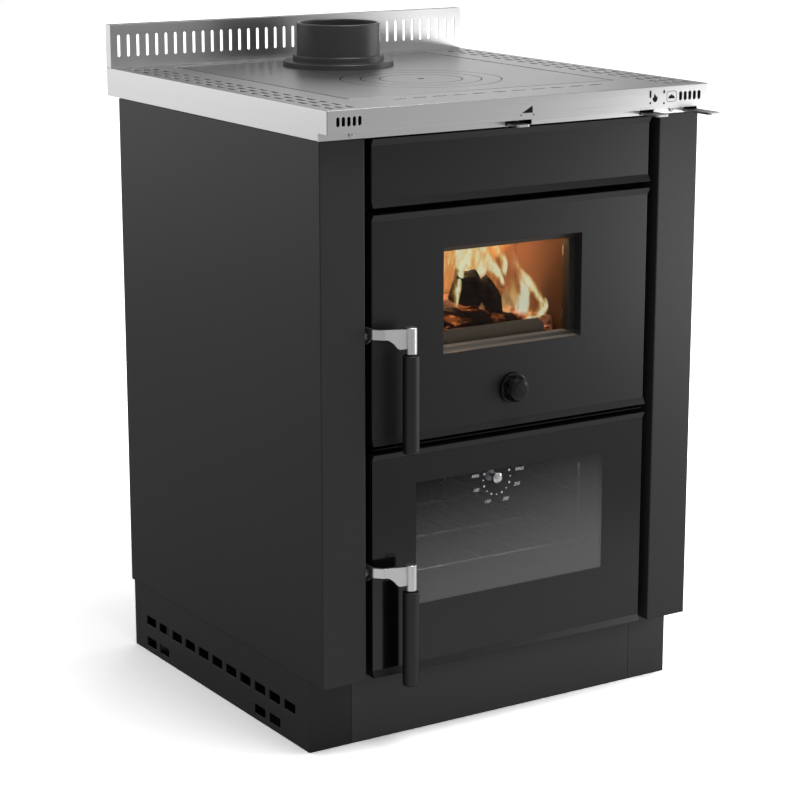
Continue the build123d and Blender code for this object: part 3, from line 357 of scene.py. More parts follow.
def rope_seal(name, low, high, body, material):
    """Rope round a rectangle with rounded corners; its strands are raised by two crossing waves."""
    sizes = {"half_width": ROPE_HALF, "height": high - low, "corner": ROPE_CORNER}
    tree = Shape(name, radius=ROPE_R, pitch=BRAID_PITCH, **sizes)
    inputs = {"Width": tree.size("half_width") * 2.0, "Height": tree.size("height")}
    path = tree.get("GeometryNodeCurvePrimitiveQuadrilateral", None, inputs)
    corners = {"Curve": path, "Radius": tree.size("corner"), "Count": 10, "Limit Radius": True}
    path = tree.get("GeometryNodeFilletCurve", {"mode": "POLY"}, corners)
    path = tree.get("GeometryNodeResampleCurve", None, {"Curve": path, "Count": 760})
    run = tree.get("GeometryNodeSplineParameter", output="Length")
    kept = {"Geometry": path, "Name": "run", "Value": run}
    path = tree.get("GeometryNodeStoreNamedAttribute", None, kept)
    round_section = {"Resolution": 20, "Radius": tree.size("radius")}
    section = tree.get("GeometryNodeCurvePrimitiveCircle", None, round_section)
    turn = tree.get("GeometryNodeSplineParameter", output="Factor")
    kept = {"Geometry": section, "Name": "turn", "Value": turn}
    section = tree.get("GeometryNodeStoreNamedAttribute", None, kept)
    tube = tree.get("GeometryNodeCurveToMesh", None, {"Curve": path, "Profile Curve": section})
    run = tree.get("GeometryNodeInputNamedAttribute", None, {"Name": "run"})
    turn = tree.get("GeometryNodeInputNamedAttribute", None, {"Name": "turn"})
    around = turn * (BRAID_STRANDS * math.pi)
    forward = run / tree.size("pitch") * math.pi
    rise = (around + forward).sine().absolute().larger((around - forward).sine().absolute())
    sunk = {0: tree.get("GeometryNodeInputNormal"), "Scale": rise * STRAND_RISE - STRAND_RISE}
    push = tree.get("ShaderNodeVectorMath", {"operation": "SCALE"}, sunk)
    tube = tree.get("GeometryNodeSetPosition", None, {"Geometry": tube, "Offset": push})
    middle = (0.0, ROPE_Y, (low + high) / 2)
    stood = {"Geometry": tube, "Translation": middle, "Rotation": (math.pi / 2, 0.0, 0.0)}
    seal = tree.made(tree.get("GeometryNodeTransform", None, stood), material)
    for polygon in seal.data.polygons:
        polygon.use_smooth = True
    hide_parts(name)
    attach(seal, body)


rope = braided_rope()
rope_seal("fire_door_seal", 0.4428, 0.6967, "fire_door", rope)
rope_seal("oven_door_seal", 0.1263, 0.3828, "oven_door", rope)


# ---- door glass ----
# Clear ceramic glass in the fire door. The oven door has a full smoked glass, printed black outside its
# window, with a painted reflection of the pale floor that grows towards its foot, and a clear glass behind it.
OVEN_WINDOW_HALF = 0.153
OVEN_WINDOW = (0.1924, 0.360)


def pane(name, tint, haze):
    """Thin glass: see-through, with a reflection that grows at a glance and a faint film of dust."""
    glass = Finish(name)
    clear = glass.get("ShaderNodeBsdfTransparent", None, {"Color": tint})
    film = glass.surface(base_color=(0.02, 0.02, 0.02), roughness=0.04, ior=1.5)
    glance = glass.get("ShaderNodeFresnel", None, {"IOR": 1.5})
    cover = glance * 0.9 + glass.noise(30.0, 4.0, 0.6) * haze
    return glass, glass.blend(cover, clear, film)


fire_glass, fire_pane = pane("ceramic_glass", (0.96, 0.95, 0.92), 0.02)
dress(fire_glass.done(fire_pane), "fire_door_glass")
clear_glass, clear_pane = pane("clear_glass", (0.9, 0.92, 0.92), 0.02)
dress(clear_glass.done(clear_pane), "oven_inner_glass")

smoked, smoked_pane = pane("smoked_glass", (0.88, 0.88, 0.9), 0.03)
# Painted reflection: a pale grey layer, blended in by height, that stands in for the floor mirrored in the
# glass.
painted_floor_reflection = smoked.surface(base_color=(0.36, 0.36, 0.365), roughness=0.1)
slope = smoked.along("Z") * -1.0 + smoked.along("X") * 0.12
smoked_pane = smoked.blend(slope.ramp(-0.4, -0.19, 0.02, 0.42), smoked_pane, painted_floor_reflection)
black_edge = smoked.surface(base_color=(0.004, 0.004, 0.0045), roughness=0.12, specular_ior_level=0.45)
side_print = smoked.along("X").absolute() > OVEN_WINDOW_HALF
upright = smoked.along("Z")
printed = side_print.larger(upright < OVEN_WINDOW[0]).larger(upright > OVEN_WINDOW[1])
dress(smoked.done(smoked.blend(printed, smoked_pane, black_edge)), "oven_door_glass")

# ---- oven thermometer and its printed dial ----
# A turned cap on a stem through both glasses, with eleven dots and six words printed on the front glass
# round it.
DIAL = (-0.0244, 0.3468)
DIAL_R = 0.022
DOT_STEP = math.radians(22.8)
FIRST_DOT = math.radians(156.0)
GLASS_FACE = -0.268
PRINT_FILM = 0.00008
dress(plain_steel("turned_steel", (0.6, 0.6, 0.6), rough=0.18), "oven_thermometer")


def print_white():
    """White enamel print with a faint unevenness."""
    ink = Finish("print_white")
    tone = ink.noise(800.0).between((0.9, 0.9, 0.9), (0.98, 0.98, 0.98))
    return ink.done(ink.surface(base_color=tone, roughness=0.4))


def dial_dots(material):
    """Eleven dots, large and small by turns, from upper left round the bottom to upper right."""
    tree = Shape("dial_dots", count=11, ring=DIAL_R, dot=0.0015, step=DOT_STEP, start=FIRST_DOT)
    line = tree.get("GeometryNodeMeshLine", None, {"Count": tree.size("count"), "Offset": (0.0, 0.0, 0.0)})
    index = tree.get("GeometryNodeInputIndex")
    angle = index * tree.size("step") + tree.size("start")
    x = angle.math("COSINE", angle) * tree.size("ring") + DIAL[0]
    z = angle.sine() * tree.size("ring") + DIAL[1]
    place = tree.point(x, GLASS_FACE - PRINT_FILM, z)
    line = tree.get("GeometryNodeSetPosition", None, {"Geometry": line, "Position": place})
    flat = {"Vertices": 16, "Radius": tree.size("dot")}
    disc = tree.get("GeometryNodeMeshCircle", {"fill_type": "NGON"}, flat)
    stood = {"Geometry": disc, "Rotation": (math.pi / 2, 0.0, 0.0)}
    disc = tree.get("GeometryNodeTransform", None, stood)
    small = index.math("MODULO", index, 2.0) * -0.35 + 1.0
    dots = {"Points": line, "Instance": disc, "Scale": tree.point(small, small, small)}
    return tree.made(tree.get("GeometryNodeInstanceOnPoints", None, dots), material)


def meshed(name, shape, material):
    """A mesh object of what was built in mesh code."""
    mesh = bpy.data.meshes.new(name)
    shape.to_mesh(mesh)
    mesh.materials.append(material)
    piece = bpy.data.objects.new(name, mesh)
    scene.collection.objects.link(piece)
    return piece


def printed_words(name, words, size, material, slant=0.3):
    """Words printed on the oven glass, one mesh: (text, x, z) gives each word's middle."""
    letters = bmesh.new()
    for text, x, z in words:
        curve = bpy.data.curves.new("word", "FONT")
        curve.body = text
        curve.size = size
        curve.shear = slant
        curve.offset = 0.00005
        curve.align_x = "CENTER"
        curve.align_y = "CENTER"
        carrier = bpy.data.objects.new("word", curve)
        mesh = bpy.data.meshes.new_from_object(carrier)
        upright = Matrix.Rotation(math.pi / 2, 4, "X")
        mesh.transform(Matrix.Translation((x, GLASS_FACE - PRINT_FILM, z)) @ upright)
        letters.from_mesh(mesh)
        bpy.data.objects.remove(carrier)
    return meshed(name, letters, material)


ink = print_white()
WORD_SIZE = 0.0064
WORDS = [
    ("MIN", -0.0598, 0.3548),
    ("100", -0.0582, 0.3351),
    ("150", -0.0395, 0.3168),
    ("200", -0.0099, 0.3163),
    ("250", 0.0082, 0.3345),
    ("MAX", 0.0124, 0.3549),
]
for piece in (dial_dots(ink), printed_words("dial_words", WORDS, WORD_SIZE, ink)):
    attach(piece, "oven_door")

# ---- air knob ----
# Moulded black knob with eight finger flutes, pressed on the spindle that turns the air shutter. It stands in
# the middle of the fire door's skin, below the window.
knob_black = powder_coat("knob_black", (0.004, 0.004, 0.004), rough=0.3, gloss=0.28)
dress(knob_black, "air_knob")


# ---- door handles ----
# Satin cast aluminium brackets that turn on a pin through the door's side, with black grips that stay cool.
# Each grip hangs down at rest, and a nose behind the door then holds the frame's keeper pin.
def satin_aluminium():
    """Tumbled casting with a fine even grain."""
    metal = Finish("satin_aluminium")
    grain = metal.noise(1800.0, 2.0)
    tone = metal.noise(40.0).between((0.68, 0.68, 0.68), (0.77, 0.77, 0.77))
    normal = metal.bump(grain, 0.00004, 0.4, metal.rounded(0.0007))
    return metal.done(metal.surface(base_color=tone, roughness=0.34, metallic=1.0, normal=normal))


dress(satin_aluminium(), "fire_handle_bracket", "oven_handle_bracket")
grip_black = powder_coat("grip_black", (0.008, 0.008, 0.008), rough=0.42)
dress(grip_black, "fire_handle_grip", "oven_handle_grip")

# ---- oven ----
# Dark enamelled box, welded from sheet, with chromed wire guides on both sides and one rack of welded wire
# that slides on them.
dress(powder_coat("oven_enamel", (0.03, 0.03, 0.031), rough=0.35), "oven_box")
dress(plain_steel("chromed_wire", (0.78, 0.78, 0.78), rough=0.3), "oven_rack", "oven_rack_guides")


# ---- firebox ----
# Welded steel box lined with pressed fireclay bricks, over a fireclay hearth with a cast grate and a
# zinc-coated ash drawer. A cast guard keeps the logs off the door, greyed partly by ash and partly by painted
# light.
PAINTED_SHADE_LINE = (0.695, 0.72)


def fireclay():
    """Pale brown, with a painted shadow that darkens it low down and towards the door."""
    brick = Finish("fireclay")
    # A random mottle in the brick's tone, which also wavers the edge of the painted shade.
    smoke = brick.noise(7.0, 5.0, 0.65)
    tone = smoke.ramp(0.35, 0.65).between((0.34, 0.2, 0.11), (0.5, 0.32, 0.19))
    # Painted shade: below and in front of a slanting line the bricks turn dark, standing in for shadow.
    height = brick.along("Y") + brick.along("Z") * 1.25 + smoke * 0.02
    tone = height.ramp(*PAINTED_SHADE_LINE, 1.0, 0.0).between(tone, (0.11, 0.046, 0.022))
    normal = brick.bump(brick.noise(600.0, 5.0, 0.65), 0.0008, 0.5, brick.rounded(0.001))
    return brick.done(brick.surface(base_color=tone, roughness=0.9, normal=normal))


dress(frame_black, "firebox_shell")
dress(fireclay(), "firebricks", "hearth_plate")
dress(casting("grate_iron", (0.012, 0.011, 0.01), (0.035, 0.03, 0.027)), "grate")
# Partly painted light: far paler than iron, to stand in for light the recessed guard barely gets.
guard_iron = casting(
    "guard_iron", (0.44, 0.37, 0.31), (0.56, 0.48, 0.4), rough=0.6, ash=(0.36, 0.3, 0.24), bare=0.0
)
dress(guard_iron, "log_guard")
dress(zinc, "ash_drawer")

# ---- the fire ----
# Split logs burning on a bed of embers behind the log guard, with tongues of flame that lick round them. The
# pieces lie on the hearth, clear of the door. Places and sizes here are in millimetres.
TOP_OF_HEARTH = 515.0
WORKTOP_FRONT = 293.0


def at(x, depth, z):
    """Place from millimetres across, behind the worktop's front face and above the floor."""
    return Vector((x / 1000, (depth - WORKTOP_FRONT) / 1000, z / 1000))


def burning_wood(name, dark, pale, glow, spread):
    """Charred wood with a long grain, burnt through in patches that glow dull red, brighter along cracks."""
    wood = Finish(name)
    grain = wood.noise(1.0, 4.0, 0.6, wood.mapped(wood.place, (30.0, 30.0, 120.0), (0.0, 0.5, 0.0)))
    patches = wood.noise(34.0, 4.0, 0.62)
    hot = patches.ramp(spread, spread + 0.1)
    crack = grain.ramp(0.55, 0.66) * patches.ramp(spread - 0.06, spread + 0.04)
    tone = (grain * 0.5 + wood.noise(70.0, 5.0, 0.7) * 0.5).ramp(0.38, 0.66).between(dark, pale)
    dull = [0.42 * part for part in glow]
    burning = (hot * 0.55).larger(crack).between((0.0, 0.0, 0.0), crack.between(dull, glow))
    normal = wood.bump(grain, 0.002, 0.8, wood.bump(wood.noise(300.0, 5.0, 0.7), 0.001, 0.6))
    light = {"emission_color": burning, "emission_strength": 1.0}
    return wood.done(wood.surface(base_color=tone, roughness=0.85, normal=normal, **light))


def split_log(name, start, end, outline, material, seed, ragged, scale=(1.0, 1.0)):
    """Log between two places, with a split section of (across, up) points and ragged ends."""
    outline = [(scale[0] * a, scale[1] * b) for a, b in outline]
    random.seed(seed)
    start, end = at(*start), at(*end)
    run = (end - start).normalized()
    across = run.cross(Vector((0.0, 0.0, 1.0))).normalized()
    up = across.cross(run)
    log = bmesh.new()
    rings = []
    steps = 14
    shift = ragged * 0.0012
    for step in range(steps + 1):
        share = step / steps
        middle = start.lerp(end, share)
        taper = 1.0 - 0.1 * abs(2 * share - 1) ** 3
        ring = []
        for a, b in outline:
            offset = across * (a * taper / 1000 + random.uniform(-shift, shift))
            offset += up * (b * taper / 1000 + random.uniform(-shift, shift))
            ends = run * random.uniform(-1, 1) * ragged * (0.004 if step in (0, steps) else 0.0)
            ring.append(log.verts.new(middle + offset + ends))
        rings.append(ring)
    count = len(outline)
    for low, high in zip(rings, rings[1:]):
        for place in range(count):
            ahead = (place + 1) % count
            log.faces.new([low[place], low[ahead], high[ahead], high[place]])
    log.faces.new(list(reversed(rings[0])))
    log.faces.new(rings[-1])
    bmesh.ops.recalc_face_normals(log, faces=log.faces)
    piece = meshed(name, log, material)
    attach(piece, "stove")


SPLIT = [(-22, -14), (-8, -20), (10, -18), (20, -8), (23, 6), (14, 18), (-2, 23), (-18, 17), (-24, 2)]
BLOCK = [(-22, -14), (-15, 9), (-11.5, 25), (-5, 19.5), (4.5, 19.5), (15, 21), (20, 11.5), (21, -22.5)]
BLOCK += [(1, -21.5)]
STUMP = [(-17, -20), (-17, 14), (-6, 20), (-2, 16), (4, 8), (13, -6), (15, -26), (-2, -27)]
char = burning_wood("charred_wood", (0.006, 0.005, 0.0045), (0.05, 0.034, 0.027), (1.0, 0.42, 0.12), 0.62)
bark = burning_wood("burnt_bark", (0.02, 0.01, 0.008), (0.12, 0.062, 0.05), (1.0, 0.42, 0.14), 0.58)
ember = burning_wood("glowing_ember", (0.03, 0.01, 0.006), (0.12, 0.045, 0.028), (0.95, 0.24, 0.05), 0.5)
end_grain = burning_wood("burning_end", (0.22, 0.075, 0.045), (0.42, 0.19, 0.12), (0.7, 0.24, 0.11), 0.42)
split_log("log_block", (-12, 122, 584), (20, 172, 585), BLOCK, char, seed=3, ragged=1.2)
split_log("log_stump", (28, 118, 574), (60, 168, 575), STUMP, bark, seed=4, ragged=1.6)
split_log("log_front", (-118, 112, 560), (66, 116, 530), SPLIT, ember, seed=5, ragged=2.0, scale=(0.8, 0.8))
split_log("log_rear", (-60, 205, 542), (112, 215, 538), SPLIT, ember, seed=8, ragged=2.0)
split_log(
    "log_right", (96, 176, 532), (117, 108, 529), SPLIT, end_grain, seed=9, ragged=2.0, scale=(0.5, 0.56)
)


def ember_bed(material):
    """Lumps of glowing coal scattered behind and beside the log guard."""
    tree = Shape("ember_bed", width=0.225, length=0.19, density=5200.0, lump=0.0065)
    inputs = {"Size X": tree.size("width"), "Size Y": tree.size("length")}
    patch = tree.get("GeometryNodeMeshGrid", None, inputs)
    stood = {"Geometry": patch, "Translation": tuple(at(0.0, 188.0, TOP_OF_HEARTH + 4.0))}
    patch = tree.get("GeometryNodeTransform", None, stood)
    spread = {"Mesh": patch, "Density": tree.size("density"), "Seed": 4}
    points = tree.get("GeometryNodeDistributePointsOnFaces", None, spread)
    lump = tree.get("GeometryNodeMeshIcoSphere", None, {"Radius": tree.size("lump"), "Subdivisions": 2})
    bumps = tree.get("ShaderNodeTexNoise", None, {"Scale": 160.0}, "Color")
    push = tree.get("ShaderNodeVectorMath", {"operation": "SUBTRACT"}, {0: bumps, 1: (0.5, 0.5, 0.5)})
    push = tree.get("ShaderNodeVectorMath", {"operation": "SCALE"}, {0: push, "Scale": 0.011})
    lump = tree.get("GeometryNodeSetPosition", None, {"Geometry": lump, "Offset": push})
    turn = {"Min": (0.0, 0.0, 0.0), "Max": (6.28, 6.28, 6.28), "Seed": 7}
    turn = tree.get("FunctionNodeRandomValue", {"data_type": "FLOAT_VECTOR"}, turn)
    large = tree.get("FunctionNodeRandomValue", None, {2: 0.6, 3: 1.3, "Seed": 2}, 1)
    lumps = {"Points": points, "Instance": lump, "Rotation": turn, "Scale": tree.point(large, large, large)}
    bed = tree.made(tree.get("GeometryNodeInstanceOnPoints", None, lumps), material)
    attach(bed, "stove")


ember_bed(ember)


def flame_light(name, outer, middle, core, thick):
    """Glowing gas: its colour goes from outer at the edges to core, and it is clear where it is thin."""
    gas = Finish(name)
    rise = gas.get("ShaderNodeAttribute", {"attribute_name": "rise"}, output="Fac")
    edge = gas.get("ShaderNodeAttribute", {"attribute_name": "edge"}, output="Fac")
    lick = gas.noise(1.0, 3.0, 0.55, gas.mapped(gas.place, (85.0, 85.0, 26.0)))
    body = (1.0 - edge) * 1.1 - rise * 0.2 + (lick - 0.5) * 2.4
    cover = body.ramp(0.0, 1.05) * rise.ramp(0.6, 1.0, 1.0, 0.0) * rise.ramp(0.0, 0.12)
    heat = body.ramp(0.25, 1.1)
    colour = heat.ramp(0.35, 0.9).between(heat.ramp(0.0, 0.45).between(outer, middle), core)
    black = {"base_color": (0.0, 0.0, 0.0), "roughness": 1.0, "specular_ior_level": 0.0}
    return gas.done(gas.surface(emission_color=colour, emission_strength=1.0, alpha=cover * thick, **black))


def flame(name, material, line):
    """Tongue of flame along (x, depth, z, half width) points from its root to its tip, hollow at its back."""
    columns, rows = 11, 36
    hollow, lean = 8, 0.3
    tongue = bmesh.new()
    rise = tongue.verts.layers.float.new("rise")
    edge = tongue.verts.layers.float.new("edge")
    points = [Vector(point) for point in line]
    points = [2 * points[0] - points[1], *points, 2 * points[-1] - points[-2]]
    grid = []
    for row in range(rows):
        share = row / (rows - 1) * (len(line) - 1)
        low = min(int(share), len(line) - 2)
        t = share - low
        a, b, c, d = points[low : low + 4]
        bend, twist = 2 * a - 5 * b + 4 * c - d, 3 * b - a - 3 * c + d
        spot = 0.5 * (2 * b + (c - a) * t + bend * t**2 + twist * t**3)
        slope = (c - a).lerp(d - b, t)
        across = Vector((slope.z, 0.0, -slope.x)).normalized()
        ring = []
        for column in range(columns):
            side = 2 * column / (columns - 1) - 1
            x, depth, z = Vector(spot[:3]) + across * side * spot[3]
            vert = tongue.verts.new(at(x, depth + hollow * side**2 - side * spot[3] * lean, z))
            vert[rise] = row / (rows - 1)
            vert[edge] = abs(side)
            ring.append(vert)
        grid.append(ring)
    for low, high in zip(grid, grid[1:]):
        for column in range(columns - 1):
            tongue.faces.new([low[column], low[column + 1], high[column + 1], high[column]])
    piece = meshed(name, tongue, material)
    for polygon in piece.data.polygons:
        polygon.use_smooth = True
    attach(piece, "stove")


cream = flame_light("cream_flame", (0.7, 0.36, 0.1), (0.8, 0.62, 0.24), (0.8, 0.8, 0.56), 0.92)
veil = flame_light("flame_veil", (0.6, 0.26, 0.08), (0.68, 0.36, 0.13), (0.74, 0.47, 0.19), 0.6)
hot_core = flame_light("hot_flame", (0.66, 0.42, 0.14), (0.78, 0.68, 0.36), (0.72, 0.76, 0.6), 0.9)
TONGUES = [
    ("flame_veil", veil, [(64, 205, 556, 44), (62, 205, 596, 48), (60, 208, 648, 52), (66, 210, 740, 54)]),
    (
        "flame_veil_left",
        veil,
        [(-8, 200, 556, 24), (-6, 200, 596, 28), (0, 205, 648, 30), (4, 210, 730, 28)],
    ),
    (
        "flame_crown",
        cream,
        [(14, 166, 592, 18), (16, 168, 612, 34), (20, 170, 636, 42), (26, 172, 676, 46), (30, 176, 740, 40)],
    ),
    (
        "flame_tail",
        cream,
        [(40, 158, 590, 8), (36, 160, 612, 22), (32, 164, 640, 28), (36, 168, 680, 30), (40, 170, 730, 24)],
    ),
    (
        "flame_left",
        cream,
        [(-30, 116, 562, 5), (-27, 118, 584, 9), (-16, 128, 610, 13), (4, 140, 636, 18), (18, 150, 690, 20)],
    ),
    (
        "flame_strand",
        cream,
        [(66, 140, 580, 4), (58, 142, 598, 9), (46, 146, 618, 13), (38, 152, 640, 18), (30, 160, 700, 22)],
    ),
    (
        "flame_wisp",
        cream,
        [(74, 150, 590, 3), (74, 152, 612, 9), (66, 156, 630, 10), (56, 160, 652, 10), (52, 162, 690, 9)],
    ),
    (
        "flame_core",
        hot_core,
        [(88, 132, 538, 19), (92, 132, 556, 20), (96, 134, 576, 16), (90, 138, 600, 12), (80, 142, 634, 7)],
    ),
    (
        "flame_arch",
        cream,
        [(122, 124, 550, 6), (112, 126, 566, 9), (102, 130, 582, 11), (90, 134, 600, 9), (78, 138, 622, 5)],
    ),
    (
        "flame_low",
        cream,
        [(80, 110, 533, 8), (100, 112, 540, 10), (116, 114, 549, 12), (128, 116, 560, 10), (138, 118, 566, 5)],
    ),
    ("flame_base", veil, [(56, 126, 538, 18), (64, 128, 556, 20), (72, 130, 576, 16), (76, 132, 600, 8)]),
]
for name, material, line in TONGUES:
    flame(name, material, line)

# ---- hob plate, rings and disc ----
# Thick ground steel plate with two lift-out rings and a centre disc, all ground together. A narrow band round
# each joint between them is darkened. A cast frame carries the plate inside the worktop's opening.
RING_EDGES = (0.1114, 0.0837, 0.0572)
RING_CENTRE = 0.041
JOINT_HALF = 0.0011
hob = Finish("ground_steel")
cloud = hob.noise(6.0, 4.0, 0.6)
ground = hob.noise(5.0, 4.0, 0.7, hob.mapped(hob.place, (8.0, 160.0, 160.0)))
hob_tone = (cloud * 0.5 + ground * 0.5).between((0.23, 0.23, 0.232), (0.34, 0.34, 0.342))
reach = (hob.along("X") ** 2.0 + (hob.along("Y") + RING_CENTRE) ** 2.0) ** 0.5
for ring_edge in RING_EDGES:
    joint = (reach - ring_edge).absolute() < JOINT_HALF
    hob_tone = (joint * 0.85).between(hob_tone, (0.02, 0.02, 0.02))
hob_normal = hob.bump(ground, 0.00003, 0.5, hob.rounded(0.0006))
hob_rough = cloud * 0.08 + 0.34
hob_shader = hob.surface(base_color=hob_tone, roughness=hob_rough, metallic=1.0, normal=hob_normal)
dress(hob.done(hob_shader), "hob_plate", "hob_ring_outer", "hob_ring_inner", "hob_disc")
flange_iron = casting("flange_iron", (0.008, 0.008, 0.008), (0.016, 0.016, 0.016), ash=(0.012, 0.012, 0.012))
dress(flange_iron, "hob_frame")

# ---- flue spigot and collar ----
# A turned pipe stub, open at the top, and the cast flange round it, in heat-resistant satin black. The stove
# pipe slides over the stub.
flue_black = powder_coat("flue_black", (0.025, 0.025, 0.0257), rough=0.38, gloss=0.9)
dress(flue_black, "flue_collar", "flue_spigot")


# ---- worktop, lever strip and splashback ----
# Folded brushed stainless sheet. The brush runs along each fold, so it turns the corner with the skirts. The
# level top is rougher, as if rubbed by use, and its colour is darkened as painted shade.
def brushed_stainless():
    """Bright steel with fine and broad brush lines."""
    steel = Finish("brushed_stainless")
    sideways = steel.faces("X").absolute() > 0.7
    level = steel.faces("Z") > 0.9
    x, y, z = (steel.along(axis) for axis in "XYZ")
    run = x + (y - x) * sideways
    across = y * (1.0 - sideways)
    line = steel.get("ShaderNodeCombineXYZ", None, {0: run * 3.0, 1: across * 900.0, 2: z * 900.0})
    fine = steel.noise(1.0, 3.0, 0.6, line)
    line = steel.get("ShaderNodeCombineXYZ", None, {0: run * 2.0, 1: across * 90.0, 2: z * 90.0})
    broad = steel.noise(1.0, 3.0, 0.6, line)
    tone = (fine * 0.6 + broad * 0.4).between((0.56, 0.56, 0.56), (0.67, 0.67, 0.667))
    normal = steel.bump(fine, 0.00003, 0.4, steel.rounded(0.0008))
    # Painted shade: the level top's colour is darkened to dim its reflection.
    tone = (level * 0.35).between(tone, (0.0, 0.0, 0.0))
    rough = fine * 0.1 + level * 0.14 + 0.24
    return steel.done(steel.surface(base_color=tone, roughness=rough, metallic=1.0, normal=normal))


stainless = brushed_stainless()
dress(stainless, "worktop", "splashback", "lever_strip", "strip_screws")

# ---- levers and dampers ----
# Plain steel blades with rounded ends that come out through the lever strip, and the slide, gate and flap that
# they move.
lever_steel = plain_steel("lever_steel", (0.52, 0.52, 0.52), rough=0.3)
dress(lever_steel, "air_lever", "bypass_damper", "oven_damper_rod")
dress(lever_steel, "oven_damper_shaft", "oven_damper_flap")


# ---- signs printed on the worktop's front ----
# Black ink: a wedge for the air lever, a flame and an oven sign for the two dampers, with bars and dots. The
# outlines are (x, z) in millimetres.
SIGN_FILM = 0.06
WEDGE = [(-8.0, 838.6), (9.2, 838.2), (8.7, 847.5)]
FLAME = [(208.4, 839.3), (206.0, 841.2), (205.0, 843.8), (205.6, 846.6), (206.9, 845.0), (207.4, 848.0)]
FLAME += [(208.4, 851.0), (210.6, 848.2), (211.4, 846.0), (212.8, 847.6), (213.8, 844.4), (212.8, 841.2)]
FLAME += [(210.6, 839.3)]
DISH = [(231.8, 842.7), (243.0, 842.4), (242.6, 844.5), (240.9, 846.3), (238.8, 847.0), (237.4, 848.9)]
DISH += [(236.0, 847.2), (233.9, 846.6), (232.2, 845.0)]
OVEN_FRAME = [(231.4, 838.4), (243.4, 838.4), (245.9, 840.9), (245.9, 850.3), (243.4, 852.8), (231.4, 852.8)]
OVEN_FRAME += [(228.9, 850.3), (228.9, 840.9)]
OVEN_MIDDLE = (237.4, 845.6)


def print_black():
    """Black enamel print, matt and slightly uneven."""
    ink = Finish("print_black")
    tone = ink.noise(700.0).between((0.004, 0.004, 0.004), (0.008, 0.008, 0.008))
    return ink.done(ink.surface(base_color=tone, roughness=0.6, specular_ior_level=0.15))


def spot(x, z, radius, count=16):
    """Outline of a round dot."""
    turns = [2 * math.pi * step / count for step in range(count)]
    return [(x + radius * math.cos(turn), z + radius * math.sin(turn)) for turn in turns]


def bar(x, low, high, width=3.2):
    """Outline of an upright bar with pointed ends."""
    half = width / 2
    foot = [(x - half, low + half), (x, low), (x + half, low + half)]
    return foot + [(x + half, high - half), (x, high), (x - half, high - half)]


def printed_signs(name, outlines, material):
    """Flat shapes just proud of the fascia, and the frame of the oven sign."""
    signs = bmesh.new()

    def corners(outline):
        return [signs.verts.new(at(x, -SIGN_FILM, z)) for x, z in outline]

    for outline in outlines:
        signs.faces.new(corners(outline))
    middle_x, middle_z = OVEN_MIDDLE
    hole = [(middle_x + 0.92 * (x - middle_x), middle_z + 0.91 * (z - middle_z)) for x, z in OVEN_FRAME]
    outer, inner = corners(OVEN_FRAME), corners(hole)
    for step in range(len(outer)):
        ahead = (step + 1) % len(outer)
        signs.faces.new([outer[step], outer[ahead], inner[ahead], inner[step]])
    for face in signs.faces:
        face.normal_update()
        if face.normal.y > 0:
            face.normal_flip()
    piece = meshed(name, signs, material)
    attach(piece, "stove")


dots = [spot(-9.4, 835.9, 1.1), spot(10.8, 835.6, 1.1), spot(201.4, 838.4, 1.6), spot(224.5, 837.0, 1.6)]
bars = [bar(201.4, 844.7, 855.8), bar(224.5, 849.5, 855.1)]
printed_signs("worktop_signs", [WEDGE, FLAME, DISH, *dots, *bars], print_black())


# ---- floor, backdrop and lights ----
# A pale floor that goes on into the white backdrop and keeps a soft shadow. One soft box hangs over the stove
# and six stand round it. A strip lamp lights the oven, and a small warm lamp lights the firebox from within.
UNDER = (0.288, -0.225, 0.282)
WHITE = (1.0, 1.0, 1.0, 1.0)


def shows_backdrop(nodes):
    """1 for what the camera sees, directly or through glass, and 0 for light and reflections."""
    seen = nodes.get("ShaderNodeLightPath", output="Is Camera Ray")
    return seen.larger(nodes.get("ShaderNodeLightPath", output="Is Transmission Ray"))


def pale_floor():
    """Diffuse floor with painted shade under the stove, that shows white away from it and as the stove mirrors
    it.
    """
    pale = Finish("floor_pale")
    x, y = pale.along("X"), pale.along("Y")
    beyond = (x.absolute() > UNDER[0]).larger(y < UNDER[1]).larger(y > UNDER[2])
    away = (x * x + y * y) ** 0.5
    seen = shows_backdrop(pale)
    front = y.ramp(-0.44, -0.3, 1.0, 0.0) * y.ramp(-1.2, -0.6, 0.45, 1.0) * x.ramp(0.2, 1.6, 0.5, 1.0)
    mirrored = pale.get("ShaderNodeLightPath", output="Is Glossy Ray") * front * 1.2
    # Painted shade: the floor under the stove is nearly black.
    tone = beyond.between((0.03, 0.03, 0.03), (0.34, 0.34, 0.34))
    tone = (seen * beyond).between(tone, (2.2, 2.2, 2.2))
    lit = pale.get("ShaderNodeBsdfDiffuse", None, {"Color": tone})
    glow = pale.get("ShaderNodeEmission", None, {"Color": WHITE, "Strength": 0.86})
    dark = pale.get("ShaderNodeEmission", None, {"Color": (0.0, 0.0, 0.0, 1.0), "Strength": 0.0})
    glow = pale.blend((seen * away.ramp(0.7, 1.8)).larger(mirrored) * beyond, dark, glow)
    return pale.done(pale.get("ShaderNodeAddShader", None, {0: lit, 1: glow}))


SPAN = 12.0
floor_mesh = bpy.data.meshes.new("floor")
floor_corners = [(-SPAN, -SPAN, 0), (SPAN, -SPAN, 0), (SPAN, SPAN, 0), (-SPAN, SPAN, 0)]
floor_mesh.from_pydata(floor_corners, [], [(0, 1, 2, 3)])
floor_mesh.materials.append(pale_floor())
floor = bpy.data.objects.new("floor", floor_mesh)
scene.collection.objects.link(floor)


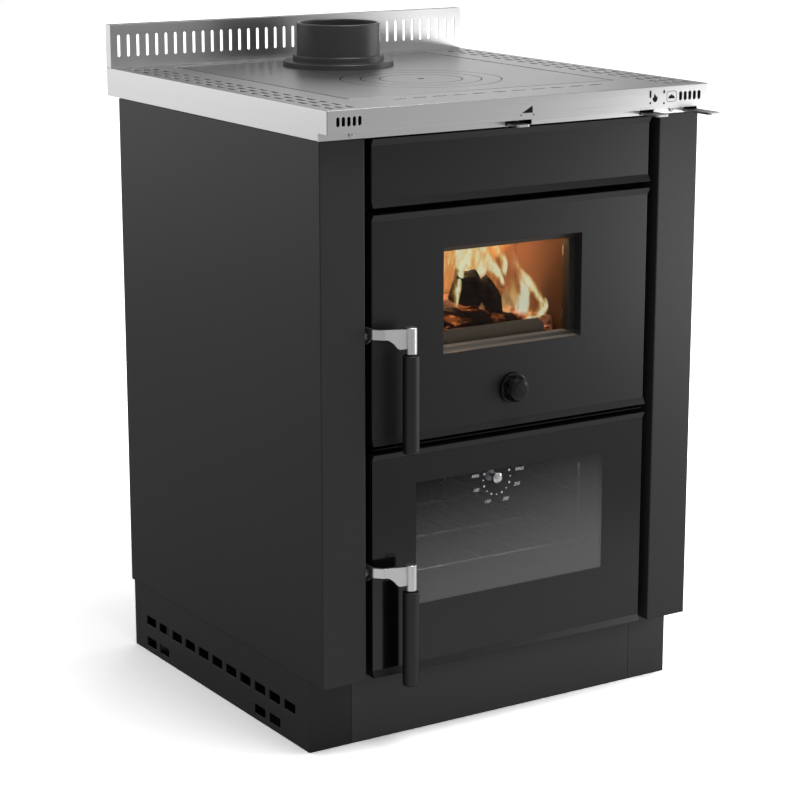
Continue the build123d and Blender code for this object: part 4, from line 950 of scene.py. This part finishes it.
def soft_box(name, place, aim, size, brightness):
    """Rectangular lamp that points at a place; a mirror would show brightness 1 as white."""
    light = bpy.data.lights.new(name, "AREA")
    light.shape = "RECTANGLE"
    light.size, light.size_y = size
    light.energy = brightness * math.pi * size[0] * size[1]
    lamp = bpy.data.objects.new(name, light)
    lamp.location = place
    lamp.rotation_euler = (Vector(aim) - Vector(place)).to_track_quat("-Z", "Y").to_euler()
    lamp.visible_camera = False
    scene.collection.objects.link(lamp)


soft_box("over_front", (0.35, -0.9, 3.0), (0.0, -0.05, 0.6), (1.5, 1.5), 5.2)
soft_box("left_back", (-1.95, 2.5, 1.05), (-0.3, 0.0, 0.9), (2.3, 1.6), 1.08)
soft_box("left_high", (-2.3, 2.3, 2.7), (0.0, 0.0, 0.9), (1.8, 1.2), 0.9)
soft_box("right_front", (1.02, -0.85, 0.5), (0.72, -0.27, 0.5), (0.5, 0.46), 4.4)
soft_box("pipe_side", (2.4, -0.5, 1.15), (0.0, 0.15, 0.9), (0.5, 0.7), 5.5)
soft_box("right_back", (1.75, 2.6, 1.6), (0.1, 0.0, 0.9), (1.0, 1.6), 0.95)
soft_box("right_side", (2.6, 0.55, 1.1), (0.0, 0.18, 0.9), (0.6, 1.4), 1.6)
soft_box("oven_lamp", (0.0, -0.229, 0.32), (0.0, -0.16, 0.2), (0.3, 0.012), 7.0)

fire_light = bpy.data.lights.new("fire_light", "POINT")
fire_light.energy = 2.3
fire_light.color = (1.0, 0.6, 0.29)
fire_light.shadow_soft_size = 0.03
fire_lamp = bpy.data.objects.new("fire_light", fire_light)
fire_lamp.location = at(20, 215, 640)
scene.collection.objects.link(fire_lamp)

world = bpy.data.worlds.new("studio")
scene.world = world
world.use_nodes = True
world.node_tree.nodes.clear()
sky = Nodes(world.node_tree)
dim = sky.get("ShaderNodeBackground", None, {"Color": (0.37, 0.37, 0.375, 1.0)})
bright = sky.get("ShaderNodeBackground", None, {"Color": WHITE})
shown = sky.get("ShaderNodeMixShader", None, {0: shows_backdrop(sky), 1: dim, 2: bright})
sky.get("ShaderNodeOutputWorld", None, {"Surface": shown}, None)
